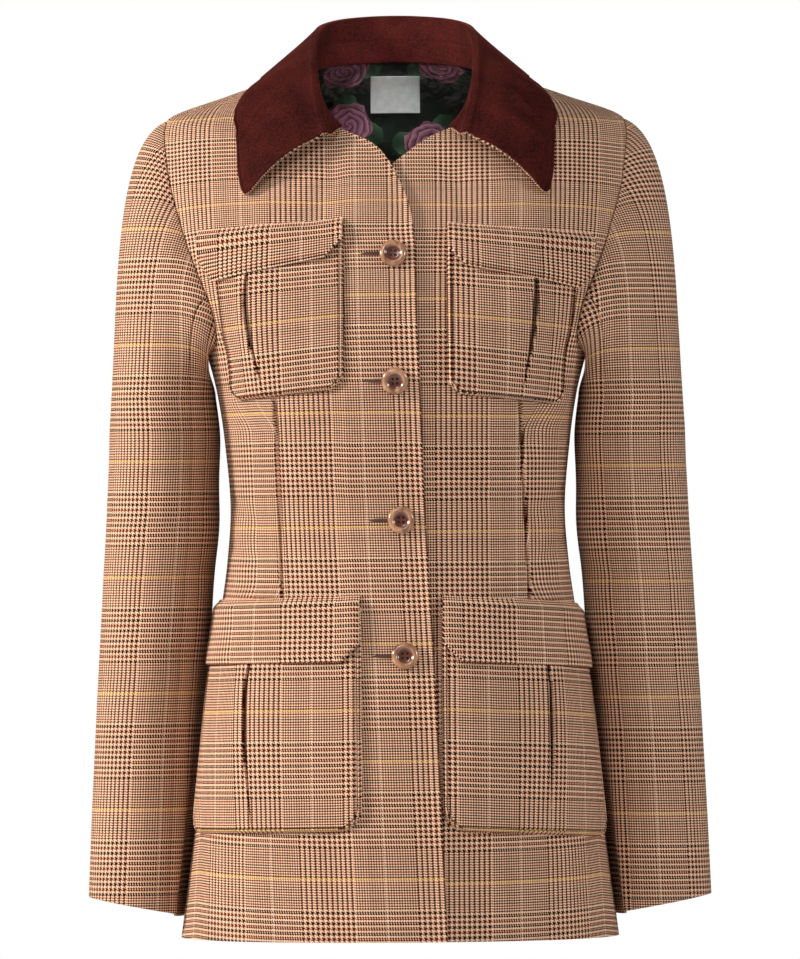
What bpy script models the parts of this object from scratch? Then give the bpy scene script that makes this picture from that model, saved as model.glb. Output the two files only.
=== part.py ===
"""A tailored utility jacket, filled out as if worn: checked tweed, velvet collar, four bellows pockets.

Metres, +Z up, the front faces -Y. The origin is the middle of the neck, level with the points where the
shoulder seams reach the collar. Every cloth piece is a grid bent onto one torso form or one sleeve form
and then thickened to its wall. The surfaces below are the middle of that wall.
"""

import math
from collections import namedtuple

import bmesh
import bpy
import numpy as np

# Walls and gaps
TWEED = 0.0018
POCKET_CLOTH = 0.0010
FLAP_CLOTH = 0.0016
COLLAR_CLOTH = 0.0012
LINING_CLOTH = 0.0010
LABEL_CLOTH = 0.0010
GAP = 0.0003
LAYER_GAP = 0.0008
SEAM = 0.0004
SLEEVE_SEAM = 0.0008

# Lengths that set the size of the jacket
HEM_Z = -0.704
NECK_RING_Z = 0.003
FRONT_TOP_Z = -0.001
ARMHOLE_TOP_Z = -0.036
ARMHOLE_HALF_HEIGHT = 0.096
BICEP_Z = -0.262
CUFF_Z = -0.679

# Horizontal sections of the torso: half width, depth in front of and behind the origin, how square the
# section is (2 is an ellipse), and how far the section leans forward, as at the base of a neck
Section = namedtuple("Section", "z half_width front back square lean")
TORSO = [
    Section(-0.704, 0.1785, 0.1380, 0.1300, 2.15, 0.00),
    Section(-0.600, 0.1650, 0.1310, 0.1240, 2.15, 0.00),
    Section(-0.500, 0.1530, 0.1220, 0.1110, 2.15, 0.00),
    Section(-0.440, 0.1450, 0.1140, 0.0970, 2.15, 0.00),
    Section(-0.396, 0.1390, 0.1070, 0.0860, 2.15, 0.00),
    Section(-0.355, 0.1362, 0.1040, 0.0800, 2.20, 0.00),
    Section(-0.298, 0.1406, 0.1140, 0.0870, 2.30, 0.00),
    Section(-0.260, 0.1462, 0.1220, 0.0950, 2.40, 0.00),
    Section(-0.228, 0.1545, 0.1250, 0.1010, 2.40, 0.00),
    Section(-0.193, 0.1690, 0.1230, 0.1040, 2.40, 0.01),
    Section(-0.162, 0.1820, 0.1190, 0.1060, 2.35, 0.03),
    Section(-0.121, 0.1930, 0.1100, 0.1040, 2.25, 0.07),
    Section(-0.084, 0.1970, 0.0960, 0.0980, 2.20, 0.11),
    Section(-0.050, 0.1930, 0.0780, 0.0890, 2.10, 0.15),
    Section(-0.036, 0.1870, 0.0710, 0.0830, 2.05, 0.17),
    Section(-0.019, 0.1430, 0.0620, 0.0740, 2.00, 0.19),
    Section(-0.008, 0.1100, 0.0560, 0.0660, 2.00, 0.20),
    Section(0.003, 0.0740, 0.0520, 0.0600, 2.00, 0.20),
]

# The front edge of each front, from hem to neck point: how far it reaches past the centre on the lapped
# front and on the front beneath it, with minus for past the centre
Edge = namedtuple("Edge", "z over under")
FRONT_EDGE = [
    Edge(-0.7040, -0.0378, -0.0240),
    Edge(-0.5850, -0.0327, -0.0240),
    Edge(-0.5050, -0.0296, -0.0240),
    Edge(-0.4240, -0.0253, -0.0240),
    Edge(-0.3510, -0.0216, -0.0240),
    Edge(-0.2650, -0.0188, -0.0240),
    Edge(-0.1920, -0.0161, -0.0240),
    Edge(-0.1350, -0.0152, -0.0235),
    Edge(-0.1170, -0.0137, -0.0225),
    Edge(-0.1020, -0.0114, -0.0200),
    Edge(-0.0880, -0.0072, -0.0160),
    Edge(-0.0780, -0.0028, -0.0115),
    Edge(-0.0630, 0.0045, -0.0030),
    Edge(-0.0520, 0.0126, 0.0105),
    Edge(-0.0455, 0.0204, 0.0185),
    Edge(-0.0410, 0.0289, 0.0260),
    Edge(-0.0372, 0.0372, 0.0330),
    Edge(-0.0327, 0.0450, 0.0440),
    Edge(-0.0220, 0.0560, 0.0560),
    Edge(-0.0100, 0.0640, 0.0640),
    Edge(-0.0040, 0.0695, 0.0695),
    Edge(-0.0010, 0.0735, 0.0735),
]

# The armhole: how many degrees it reaches forward and back of the side, by the turn from the shoulder (0)
# to the underarm (180)
Scoop = namedtuple("Scoop", "turn ahead behind")
ARMHOLE = [
    Scoop(0, 0, 0),
    Scoop(30, 12, 10),
    Scoop(60, 22, 19),
    Scoop(90, 28, 24),
    Scoop(120, 31, 26),
    Scoop(150, 25, 20),
    Scoop(180, 0, 0),
]

# Rings of the sleeve below the bicep: middle of the ring, its half width and half depth, and the rise of
# its outer side over its middle
Ring = namedtuple("Ring", "z x y half_width half_depth rise")
SLEEVE = [
    Ring(-0.262, 0.1905, 0.006, 0.0430, 0.063, 0.000),
    Ring(-0.298, 0.1900, 0.010, 0.0455, 0.063, 0.000),
    Ring(-0.355, 0.1920, 0.015, 0.0460, 0.062, 0.001),
    Ring(-0.429, 0.1975, 0.020, 0.0450, 0.059, 0.002),
    Ring(-0.510, 0.2030, 0.022, 0.0440, 0.055, 0.003),
    Ring(-0.590, 0.2075, 0.018, 0.0435, 0.050, 0.005),
    Ring(-0.679, 0.2112, 0.012, 0.0435, 0.047, 0.008),
]
SLEEVE_FRONT_SEAM = math.radians(120)
SLEEVE_BACK_SEAM = math.radians(240)
SLEEVE_CLEAR = 0.0036
SLEEVE_CLEAR_OF_POCKET = 0.0060

# Soft folds across the sleeves, by height and turn, with their half height, half turn and depth
Fold = namedtuple("Fold", "z turn half_height half_turn depth slant")
SLEEVE_FOLDS = [
    Fold(-0.330, 150, 0.030, 70, 0.0026, 0.10),
    Fold(-0.390, 110, 0.026, 60, 0.0022, -0.14),
    Fold(-0.445, 70, 0.030, 60, 0.0018, 0.16),
    Fold(-0.420, 250, 0.030, 60, 0.0024, -0.12),
    Fold(-0.530, 130, 0.036, 70, 0.0016, 0.12),
]

# The front dart, from the chest pocket down to the lower pocket
DART_TOP_Z = -0.262
DART_BOTTOM_Z = -0.425
DART_DEPTH = 0.0012
DART_SHARE = {"right": 0.555, "left": 0.580}
DART_HALF_SHARE = 0.015

# Pockets: inner and outer edge of the bag from the centre front, its bottom and top, the share of its width
# where the pleat lies at bottom and top, its corner and how far its outer side droops. Then the flap: its
# drop at the inner end, how much deeper it grows outwards, and how far it reaches past the bag
Pocket = namedtuple("Pocket", "inner outer bottom top pleat_low pleat_high corner droop "
                    "flap_drop flap_spread flap_past")
POCKETS = {
    ("chest", "right"): Pocket(0.0460, 0.149, -0.253, -0.120, 0.625, 0.690, 0.012, 0.09, 0.033, 0.11, 0.018),
    ("chest", "left"): Pocket(0.0445, 0.149, -0.257, -0.124, 0.555, 0.660, 0.012, 0.09, 0.037, 0.10, 0.018),
    ("lower", "right"): Pocket(0.0335, 0.2125, -0.611, -0.434, 0.505, 0.505, 0.016, 0.02, 0.053, 0, 0.003),
    ("lower", "left"): Pocket(0.0385, 0.2125, -0.611, -0.434, 0.510, 0.510, 0.016, 0.05, 0.053, 0, 0.003),
}
PLEAT_DEPTH = 0.0110
PLEAT_MOUTH = 0.0014
PLEAT_GAPE = 0.0046
FLAP_OVERLAP = 0.0030
FLAP_ABOVE = 0.0090
FLAP_CLIP = 0.0140

# Heights of the layers of a pocket over the middle of the front's wall
UNDERLAY = TWEED / 2 + LAYER_GAP + POCKET_CLOTH / 2
FOLD_BACK = UNDERLAY + POCKET_CLOTH + 0.00035
POCKET_FACE = FOLD_BACK + POCKET_CLOTH + 0.00035
FLAP_FACE = POCKET_FACE + POCKET_CLOTH / 2 + LAYER_GAP + FLAP_CLOTH / 2
FLAP_ROOT = TWEED / 2 + LAYER_GAP + FLAP_CLOTH / 2
GUSSET_STEP = POCKET_CLOTH / 2 + GAP + POCKET_CLOTH / 2

# The collar from its front end (0) to the centre back (1): the roll line, and where on the torso form the
# outer edge lies
Roll = namedtuple("Roll", "along x y z")
COLLAR_ROLL = [
    Roll(0.00, 0.0565, -0.0860, -0.0500),
    Roll(0.20, 0.0645, -0.0565, -0.0130),
    Roll(0.40, 0.0662, -0.0120, 0.0200),
    Roll(0.60, 0.0608, 0.0300, 0.0390),
    Roll(0.80, 0.0370, 0.0650, 0.0475),
    Roll(1.00, 0.0000, 0.0760, 0.0500),
]
Rim = namedtuple("Rim", "along turn z bulge")
COLLAR_RIM = [
    Rim(0.00, 36.0, -0.0940, 0.0060),
    Rim(0.12, 38.0, -0.0715, 0.0050),
    Rim(0.22, 41.0, -0.0450, 0.0040),
    Rim(0.30, 47.2, -0.0290, 0.0030),
    Rim(0.37, 62.0, -0.0180, 0.0015),
    Rim(0.45, 86.0, -0.0100, 0.0000),
    Rim(0.60, 124.0, -0.0140, 0.0000),
    Rim(0.80, 154.0, -0.0220, 0.0010),
    Rim(1.00, 180.0, -0.0220, 0.0020),
]
COLLAR_END_Z = -0.0315
COLLAR_FOOT_GAP = 0.0034
COLLAR_FOOT_LIFT = 0.0028
COLLAR_ROLL_RADIUS = 0.0030
COLLAR_CLEAR = 0.0064
COLLAR_SEAM_SHARE = 0.45
UNDER_COLLAR_STEP = COLLAR_CLOTH + LAYER_GAP
UNDER_COLLAR_SHOWS = 0.0010

# Buttons: height, distance past the centre front
Button = namedtuple("Button", "z past")
BUTTONS = [
    Button(-0.1426, -0.0025),
    Button(-0.2497, -0.0014),
    Button(-0.3630, 0.0026),
    Button(-0.4735, 0.0051),
]
BUTTON_RADIUS = 0.0110
BUTTON_GAP = 0.00075
BUTTON_HOLE_RADIUS = 0.0011
BUTTON_HOLE_STEP = 0.0026

LINING_LOW_Z = -0.185
LABEL_SIZE = (0.041, 0.031)
LABEL_MIDDLE_Z = -0.024

COLOURS = {
    "tweed": ((0.40, 0.23, 0.13), 0.90, 0.0),
    "velvet": ((0.065, 0.014, 0.011), 0.80, 0.0),
    "lining": ((0.018, 0.022, 0.020), 0.40, 0.0),
    "label": ((0.55, 0.55, 0.53), 0.45, 0.0),
    "button": ((0.30, 0.13, 0.06), 0.25, 0.0),
}


# Smooth curves through the tables

def column(table, name):
    return np.array([getattr(row, name) for row in table], float)


def smooth(knots, values, at):
    """A cubic curve through the knots that never overshoots them."""
    knots, values = np.asarray(knots, float), np.asarray(values, float)
    step = np.diff(knots)
    rise = np.diff(values) / step
    slope = np.concatenate([rise[:1], np.zeros(len(rise) - 1), rise[-1:]])
    same_way = rise[:-1] * rise[1:] > 0
    slope[1:-1][same_way] = 2 * rise[:-1][same_way] * rise[1:][same_way] / (rise[:-1] + rise[1:])[same_way]
    at = np.clip(at, knots[0], knots[-1])
    k = np.clip(np.searchsorted(knots, at, side="right") - 1, 0, len(step) - 1)
    t = (at - knots[k]) / step[k]
    bend_in = slope[k] * step[k] * t * (1 - t) ** 2
    bend_out = slope[k + 1] * step[k] * t * t * (t - 1)
    return values[k] * (1 - t) ** 2 * (1 + 2 * t) + values[k + 1] * t * t * (3 - 2 * t) + bend_in + bend_out


def read(table, name, at):
    return smooth(column(table, table[0]._fields[0]), column(table, name), at)


def read_round(table, name, at):
    """A collar table read past the centre back too, where it carries on as its own mirror image."""
    along, values = column(table, "along"), column(table, name)
    other = {"x": -values, "turn": 360 - values}.get(name, values)
    return float(smooth(np.append(along, 2 - along[-2::-1]), np.append(values, other[-2::-1]), at))


def ease(value, start, end):
    """0 before start, 1 after end, smooth between them."""
    t = np.clip((value - start) / (end - start), 0, 1)
    return t * t * (3 - 2 * t)


# The torso form

def torso(turn, z):
    """A point of the form at a turn from the centre front (0) round the side (pi / 2) to the back (pi)."""
    turn, z = np.broadcast_arrays(np.asarray(turn, float), np.asarray(z, float))
    power = 2 / read(TORSO, "square", z)
    ahead, across = np.cos(turn), np.sin(turn)
    x = read(TORSO, "half_width", z) * np.sign(across) * np.abs(across) ** power
    depth = np.where(ahead > 0, -read(TORSO, "front", z), read(TORSO, "back", z))
    y = depth * np.abs(ahead) ** power
    return np.stack([x, y, z + read(TORSO, "lean", z) * y], axis=-1)


SAMPLES = np.linspace(-math.pi / 2, math.pi / 2, 361)


def turn_at(z, distance, back=False):
    """The turn that lies a distance round the section at z from the centre front, or the centre back."""
    ring = torso(SAMPLES + math.pi * back, z)
    length = np.concatenate([[0], np.cumsum(np.linalg.norm(np.diff(ring, axis=0), axis=1))])
    length -= length[len(SAMPLES) // 2]
    return float(np.interp(distance, length, SAMPLES))


def distance_at(z, turn, back=False):
    ring = torso(SAMPLES + math.pi * back, z)
    length = np.concatenate([[0], np.cumsum(np.linalg.norm(np.diff(ring, axis=0), axis=1))])
    length -= length[len(SAMPLES) // 2]
    return float(np.interp(turn, SAMPLES, length))


def turn_of_width(z, x):
    """The turn at which the front of the section at z is x from the middle."""
    share = np.clip(abs(x) / read(TORSO, "half_width", z), 0, 1)
    return math.copysign(math.asin(share ** (read(TORSO, "square", z) / 2)), x)


def grid_normals(points):
    """Unit normals of a grid of points, rows first."""
    along = np.gradient(points, axis=1)
    up = np.gradient(points, axis=0)
    normal = np.cross(along, up)
    return normal / np.linalg.norm(normal, axis=2, keepdims=True)


def mitred_normals(points):
    """Normals of a grid that is bent along its rows, long enough at a bend to keep an offset parallel."""
    along = np.gradient(points, axis=1)
    step = np.diff(points, axis=0)
    before = np.cross(along, np.concatenate([step[:1], step]))
    after = np.cross(along, np.concatenate([step, step[-1:]]))
    before /= np.linalg.norm(before, axis=2, keepdims=True)
    after /= np.linalg.norm(after, axis=2, keepdims=True)
    middle = before + after
    middle /= np.linalg.norm(middle, axis=2, keepdims=True)
    return middle / np.maximum(np.sum(middle * before, axis=2, keepdims=True), 0.5)


def torso_normal(turn, z):
    """The outward normal of the form."""
    small = 1e-4
    across = torso(turn + small, z) - torso(turn - small, z)
    up = torso(turn, z + small) - torso(turn, z - small)
    normal = np.cross(across, up)
    return normal / np.linalg.norm(normal, axis=-1, keepdims=True)


def lap_lift(distance):
    """How far the lapped front stands out to pass over the front beneath it."""
    return (TWEED + LAYER_GAP) * (1 - ease(distance, 0.035, 0.053))


def dart_sink(side, z, share):
    near = np.clip(1 - abs(share - DART_SHARE[side]) / DART_HALF_SHARE, 0, 1)
    over_bottom = ease(z, DART_BOTTOM_Z - 0.01, DART_BOTTOM_Z + 0.01)
    under_top = 1 - ease(z, DART_TOP_Z - 0.01, DART_TOP_Z + 0.01)
    return DART_DEPTH * near * over_bottom * under_top


def on_front(side, distance, z, height=0.0):
    """A point over the middle of a front's wall, a distance from the centre front on its own side."""
    turn = turn_at(z, distance)
    lift = lap_lift(distance) if side == "right" else 0.0
    return torso(turn, z) + torso_normal(turn, z) * (height + lift)


def to_side(points, side):
    """Points made for the left of the jacket, taken to its left or right."""
    return points * np.array([1 if side == "left" else -1, 1, 1])


# Scene and solids

def clear_scene():
    for obj in list(bpy.data.objects):
        bpy.data.objects.remove(obj)


def finish_of(name):
    material = bpy.data.materials.get(name)
    if material is None:
        colour, roughness, metallic = COLOURS[name]
        material = bpy.data.materials.new(name)
        material.use_nodes = True
        shader = material.node_tree.nodes["Principled BSDF"]
        shader.inputs["Base Color"].default_value = (*colour, 1)
        shader.inputs["Roughness"].default_value = roughness
        shader.inputs["Metallic"].default_value = metallic
    return material


def add_object(name, mesh, finish):
    obj = bpy.data.objects.new(name, mesh)
    bpy.data.collections["utility_jacket"].objects.link(obj)
    if not mesh.materials:
        mesh.materials.append(finish_of(finish))
    return obj


def cloth(name, points, wall, finish, even=False):
    """A cloth piece: a grid laid on points[row, column], thickened by half its wall to each side."""
    rows, columns = points.shape[:2]
    shape = bmesh.new()
    bmesh.ops.create_grid(shape, x_segments=columns - 1, y_segments=rows - 1, size=1)
    for vertex in shape.verts:
        column_of = round((vertex.co.x + 1) / 2 * (columns - 1))
        row_of = round((vertex.co.y + 1) / 2 * (rows - 1))
        vertex.co = points[row_of, column_of]
    mesh = bpy.data.meshes.new(name)
    shape.to_mesh(mesh)
    shape.free()
    mesh.shade_smooth()
    obj = add_object(name, mesh, finish)
    thicken = obj.modifiers.new("wall", "SOLIDIFY")
    thicken.thickness = wall
    thicken.offset = 0
    thicken.use_even_offset = even
    return obj


# Fronts, back and lining

def scoop_at(z, name):
    """How many radians the armhole reaches from the side at a height, and 0 above and below it."""
    middle = ARMHOLE_TOP_Z - ARMHOLE_HALF_HEIGHT
    level = (z - middle) / ARMHOLE_HALF_HEIGHT
    if abs(level) >= 1:
        return 0.0
    return math.radians(read(ARMHOLE, name, math.degrees(math.acos(level))))


def panel_heights(top):
    """Rows of a torso panel: even below the underarm, by turns round the armhole, close on the shoulder."""
    middle = ARMHOLE_TOP_Z - ARMHOLE_HALF_HEIGHT
    underarm = middle - ARMHOLE_HALF_HEIGHT
    low = np.linspace(HEM_Z, underarm, 16)[:-1]
    round_armhole = middle + ARMHOLE_HALF_HEIGHT * np.cos(np.radians(np.linspace(180, 0, 13)))
    shoulder = ARMHOLE_TOP_Z + (top - ARMHOLE_TOP_Z) * np.array([0.1, 0.25, 0.5, 0.75, 0.92, 1.0])
    return np.concatenate([low, round_armhole, shoulder])


def outer_distance(z, back):
    scoop = scoop_at(z, "behind" if back else "ahead")
    return distance_at(z, math.pi / 2 - scoop, back) - SEAM / 2


def front_panel(side):
    dart = DART_SHARE[side]
    at_dart = [dart - DART_HALF_SHARE, dart, dart + DART_HALF_SHARE]
    shares = [0, 0.12, 0.24, 0.36, 0.48, *at_dart, 0.72, 0.82, 0.91, 1]
    edge = "over" if side == "right" else "under"
    rows = []
    for z in panel_heights(FRONT_TOP_Z):
        inner = distance_at(z, turn_of_width(z, float(read(FRONT_EDGE, edge, z))))
        outer = outer_distance(z, back=False)
        row = []
        for share in shares:
            row.append(on_front(side, inner + share * (outer - inner), z, -dart_sink(side, z, share)))
        rows.append(row)
    cloth(f"front_{side}", to_side(np.array(rows), side), TWEED, "tweed")


def back_point(distance, z, height=0.0):
    turn = math.pi + turn_at(z, distance, back=True)
    return torso(turn, z) + torso_normal(turn, z) * height


HALF_BACK = [0.15, 0.31, 0.47, 0.63, 0.79, 0.93, 1.0]
BACK_SHARES = [-share for share in HALF_BACK[::-1]] + [0.0] + HALF_BACK


def back_grid(height):
    """The back's own grid of points, moved out by a height."""
    rows = []
    for z in panel_heights(NECK_RING_Z):
        outer = outer_distance(z, back=True)
        rows.append([back_point(outer * share, z, height) for share in BACK_SHARES])
    return np.array(rows)


def back_panel():
    cloth("back", back_grid(0), TWEED, "tweed")


LINING_DEPTH = -(TWEED / 2 + GAP + LINING_CLOTH / 2)
LABEL_DEPTH = LINING_DEPTH - LINING_CLOTH / 2 - GAP - LABEL_CLOTH / 2


def back_lining():
    """The lining of the upper back lies on the back's own points, a seam allowance inside its edges."""
    levels = panel_heights(NECK_RING_Z)
    shown = [k for k, z in enumerate(levels) if z > LINING_LOW_Z]
    cloth("lining_back", back_grid(LINING_DEPTH)[shown, 1:-1], LINING_CLOTH, "lining")


def label():
    """A plain woven label on the lining's points, so that it follows the same bend."""
    width, height = LABEL_SIZE
    grid = back_grid(LABEL_DEPTH)
    middle = len(HALF_BACK)
    top, bottom = LABEL_MIDDLE_Z + height / 2, LABEL_MIDDLE_Z - height / 2
    levels = panel_heights(NECK_RING_Z)
    inside = [z for z in levels if bottom < z < top]
    rows = []
    for z in [bottom, *inside, top]:
        line = []
        for k in range(len(BACK_SHARES)):
            line.append([np.interp(z, levels, grid[:, k, axis]) for axis in range(3)])
        line = np.array(line)
        steps = np.linalg.norm(np.diff(line, axis=0), axis=1)
        reach = np.concatenate([[0], np.cumsum(steps)])
        reach -= reach[middle]
        row = []
        for place in np.linspace(-width / 2, width / 2, 5):
            row.append([np.interp(place, reach, line[:, axis]) for axis in range(3)])
        rows.append(row)
    cloth("label", np.array(rows), LABEL_CLOTH, "label")


# Sleeves

def armhole_point(turn):
    """A point of the armhole seam, by the turn from the shoulder (0) through the front (pi / 2)."""
    behind = turn > math.pi
    down = 2 * math.pi - turn if behind else turn
    z = ARMHOLE_TOP_Z - ARMHOLE_HALF_HEIGHT * (1 - math.cos(down))
    scoop = math.radians(float(read(ARMHOLE, "behind" if behind else "ahead", math.degrees(down))))
    return torso(math.pi / 2 + (scoop if behind else -scoop), z)


def beside_torso(x, y, z):
    """x, pushed out where the sleeve would hang into the torso or into a lower pocket."""
    depth = float(read(TORSO, "front" if y < 0 else "back", z))
    square = float(read(TORSO, "square", z))
    width_share = (1 - min(1.0, abs(y) / depth) ** square) ** (1 / square)
    half_width = float(read(TORSO, "half_width", z)) * width_share
    pocket = float((1 - ease(y, -0.010, 0.020)) * (1 - ease(z, -0.425, -0.395)))
    limit = half_width + SLEEVE_CLEAR + SLEEVE_CLEAR_OF_POCKET * pocket
    room = x - limit
    return limit + (room + math.hypot(room, 0.003)) / 2


def sleeve_ring(turn, z):
    """A point of the hanging sleeve, by the turn from its outer side (0) through its front (pi / 2)."""
    # The rings are listed downwards, so they are read by depth
    depths, depth = -column(SLEEVE, "z"), -z
    x, y, half_width, half_depth, rise = (
        float(smooth(depths, column(SLEEVE, name), depth)) for name in Ring._fields[1:]
    )
    inward = 0.0
    for fold in SLEEVE_FOLDS:
        away = math.degrees(turn) - fold.turn
        level = z - fold.z - fold.slant * math.radians(away) * half_depth
        inward += fold.depth * math.exp(-((level / fold.half_height) ** 2) - (away / fold.half_turn) ** 2)
    across = x + (half_width - inward) * math.cos(turn)
    deep = y - (half_depth - inward) * math.sin(turn)
    return np.array([beside_torso(across, deep, z), deep, z + rise * math.cos(turn)])


def sleeve_cap(turn, share):
    """A point from the bicep ring (0) to the armhole (1): it rises with the sleeve, then turns in."""
    low, high = sleeve_ring(turn, BICEP_Z), armhole_point(turn)
    top = (1 + math.cos(turn)) / 2
    ahead = math.sin(turn)
    rise = np.array([-0.018 * top, 0.0, 0.04 + 0.24 * top * top])
    into = np.array([-(0.03 + 0.095 * top), 0.030 * ahead * (1.2 - top), 0.012 + 0.036 * top])
    # The seam's own gap is left at the sleeve's end
    high = high - into / np.linalg.norm(into) * SLEEVE_SEAM * (2.6 - 1.6 * top)
    t = share
    return (low * (1 - t) ** 2 * (1 + 2 * t) + high * t * t * (3 - 2 * t)
            + rise * t * (1 - t) ** 2 + into * t * t * (t - 1))


def sleeve_piece(name, side, start, end, columns):
    half_seam = SEAM / 2 / 0.040
    turns = np.linspace(start + half_seam, end - half_seam, columns)
    turns = turns % (2 * math.pi)
    rows = [[sleeve_ring(turn, z) for turn in turns] for z in np.linspace(CUFF_Z, BICEP_Z, 10)]
    rows += [[sleeve_cap(turn, share) for turn in turns] for share in np.linspace(0, 1, 8)[1:]]
    cloth(f"{name}_{side}", to_side(np.array(rows), side), TWEED, "tweed")


def sleeve(side):
    sleeve_piece("sleeve_top", side, SLEEVE_BACK_SEAM - 2 * math.pi, SLEEVE_FRONT_SEAM, 17)
    sleeve_piece("sleeve_under", side, SLEEVE_FRONT_SEAM, SLEEVE_BACK_SEAM, 9)


# Collar

def neckline(along):
    """The seam of the collar, from its front end (0) along the neck edge and round to the centre back (1)."""
    start = 0.44
    if along < start:
        z = COLLAR_END_Z + (FRONT_TOP_Z - COLLAR_END_Z) * (along / start)
        turn = turn_of_width(z, float(read(FRONT_EDGE, "over", z)) - COLLAR_FOOT_GAP)
        lift = COLLAR_FOOT_LIFT * (1 - ease(along, 0.25, start))
        return torso(turn, z) + torso_normal(turn, z) * lift
    turn = math.pi / 2 * (1 + (along - start) / (1 - start))
    return torso(turn, NECK_RING_Z + COLLAR_FOOT_GAP)


def collar_profile(along):
    """Points across the collar at one place: up the stand, over the roll and down to the outer edge."""
    foot = neckline(along)
    roll = np.array([read_round(COLLAR_ROLL, name, along) for name in ("x", "y", "z")])
    turn, z = math.radians(read_round(COLLAR_RIM, "turn", along)), read_round(COLLAR_RIM, "z", along)
    out = torso_normal(turn, z)
    rim = torso(turn, z) + out * COLLAR_CLEAR
    fall = rim - roll
    level = fall - np.array([0, 0, fall[2]])
    outward = level / np.linalg.norm(level)
    inside = roll - outward * COLLAR_ROLL_RADIUS * 0.6
    stand = [foot + (inside - foot) * share for share in (0, COLLAR_SEAM_SHARE, 0.8)]
    top = roll + outward * COLLAR_ROLL_RADIUS * 0.8 + np.array([0, 0, COLLAR_ROLL_RADIUS])
    crown = inside + np.array([0, 0, COLLAR_ROLL_RADIUS * 0.8])
    shoulder = top + outward * COLLAR_ROLL_RADIUS * 0.8 - np.array([0, 0, COLLAR_ROLL_RADIUS * 0.7])
    bulge = (out + np.array([0, 0, 0.6])) * read_round(COLLAR_RIM, "bulge", along)
    down = []
    for share in (0.33, 0.67, 1.0):
        down.append(shoulder + (rim - shoulder) * share + bulge * 4 * share * (1 - share))
    return np.array([*stand, crown, top, shoulder, *down])


def collar():
    places = np.linspace(0, 1, 12)
    half = np.array([collar_profile(along) for along in places])
    other = half[-2::-1] * np.array([-1, 1, 1])
    points = np.concatenate([half, other]).transpose(1, 0, 2)
    # The stand stops short of its seam, measured square to the seam line
    up = points[1] - points[0]
    line = np.gradient(points[1], axis=0)
    line /= np.linalg.norm(line, axis=1, keepdims=True)
    square = up - line * np.sum(up * line, axis=1, keepdims=True)
    step = 2 * SEAM * square / np.linalg.norm(square, axis=1, keepdims=True)
    cloth("collar_stand", np.array([points[0], points[0] * 0.5 + points[1] * 0.5, points[1] - step]),
          COLLAR_CLOTH, "velvet")
    cloth("collar_upper", points[1:], COLLAR_CLOTH, "velvet")
    under = points - mitred_normals(points) * UNDER_COLLAR_STEP * under_collar_side(points)
    under[0] = 0.5 * under[0] + 0.5 * under[1]
    past = under[-1] - under[-2]
    under[-1] += past / np.linalg.norm(past, axis=1, keepdims=True) * UNDER_COLLAR_SHOWS
    cloth("collar_under", under, COLLAR_CLOTH, "tweed")


def under_collar_side(points):
    """1 or -1, so that the grid's normals point to the velvet side, which faces up on the fall."""
    normal = grid_normals(points)[-2, points.shape[1] // 2]
    return 1.0 if normal[1] + normal[2] > 0 else -1.0


# Pockets

def pocket_outer(spec, z):
    """The outer edge of a bag, which stops short of the side."""
    return min(spec.outer, distance_at(z, math.pi / 2) - 0.006)


def corner_inset(spec, level):
    """How far a rounded bottom corner draws the side edge in, at a height over the bottom."""
    if level >= spec.corner:
        return 0.0
    return spec.corner - math.sqrt(spec.corner ** 2 - (spec.corner - level) ** 2)


def pocket_place(spec, level, share):
    """Distance from the centre front and height, at a level over the bottom and a share of the width."""
    z = spec.bottom + level
    width = pocket_outer(spec, z) - spec.inner
    return spec.inner + share * width, z - spec.droop * share * width, width


def pocket_levels(spec):
    """Rows of a bag over its bottom, close where the corners bend."""
    bend = [spec.corner * (1 - math.cos(math.radians(b))) for b in (0, 30, 60, 90)]
    return [*bend, *np.linspace(spec.corner, spec.top - spec.bottom, 6)[1:]]


def pocket_bag(kind, side):
    """The patch with its inverted box pleat: face, fold back, underlay, fold back and face again."""
    spec = POCKETS[kind, side]
    height = spec.top - spec.bottom
    rows = []
    for level in pocket_levels(spec):
        part = level / height
        pleat = spec.pleat_low + (spec.pleat_high - spec.pleat_low) * part
        width = pocket_place(spec, level, 0)[2]
        inset = corner_inset(spec, level) / width
        half_mouth = (PLEAT_MOUTH + PLEAT_GAPE * math.sin(math.pi * part) ** 1.3) / 2 / width
        fold = PLEAT_DEPTH / width
        left, right = pleat - half_mouth, pleat + half_mouth
        stops = [(share, POCKET_FACE) for share in np.linspace(inset, left, 5)]
        stops += [(left, FOLD_BACK), (left - fold, FOLD_BACK)]
        stops += [(share, UNDERLAY) for share in np.linspace(left - fold, right + fold, 4)]
        stops += [(right + fold, FOLD_BACK), (right, FOLD_BACK)]
        stops += [(share, POCKET_FACE) for share in np.linspace(right, 1 - inset, 5)]
        row = []
        for share, lift in stops:
            distance, z, _ = pocket_place(spec, level, share)
            row.append(on_front(side, distance, z, lift))
        rows.append(row)
    cloth(f"{kind}_pocket_bag_{side}", to_side(np.array(rows), side), POCKET_CLOTH, "tweed", even=True)


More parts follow.
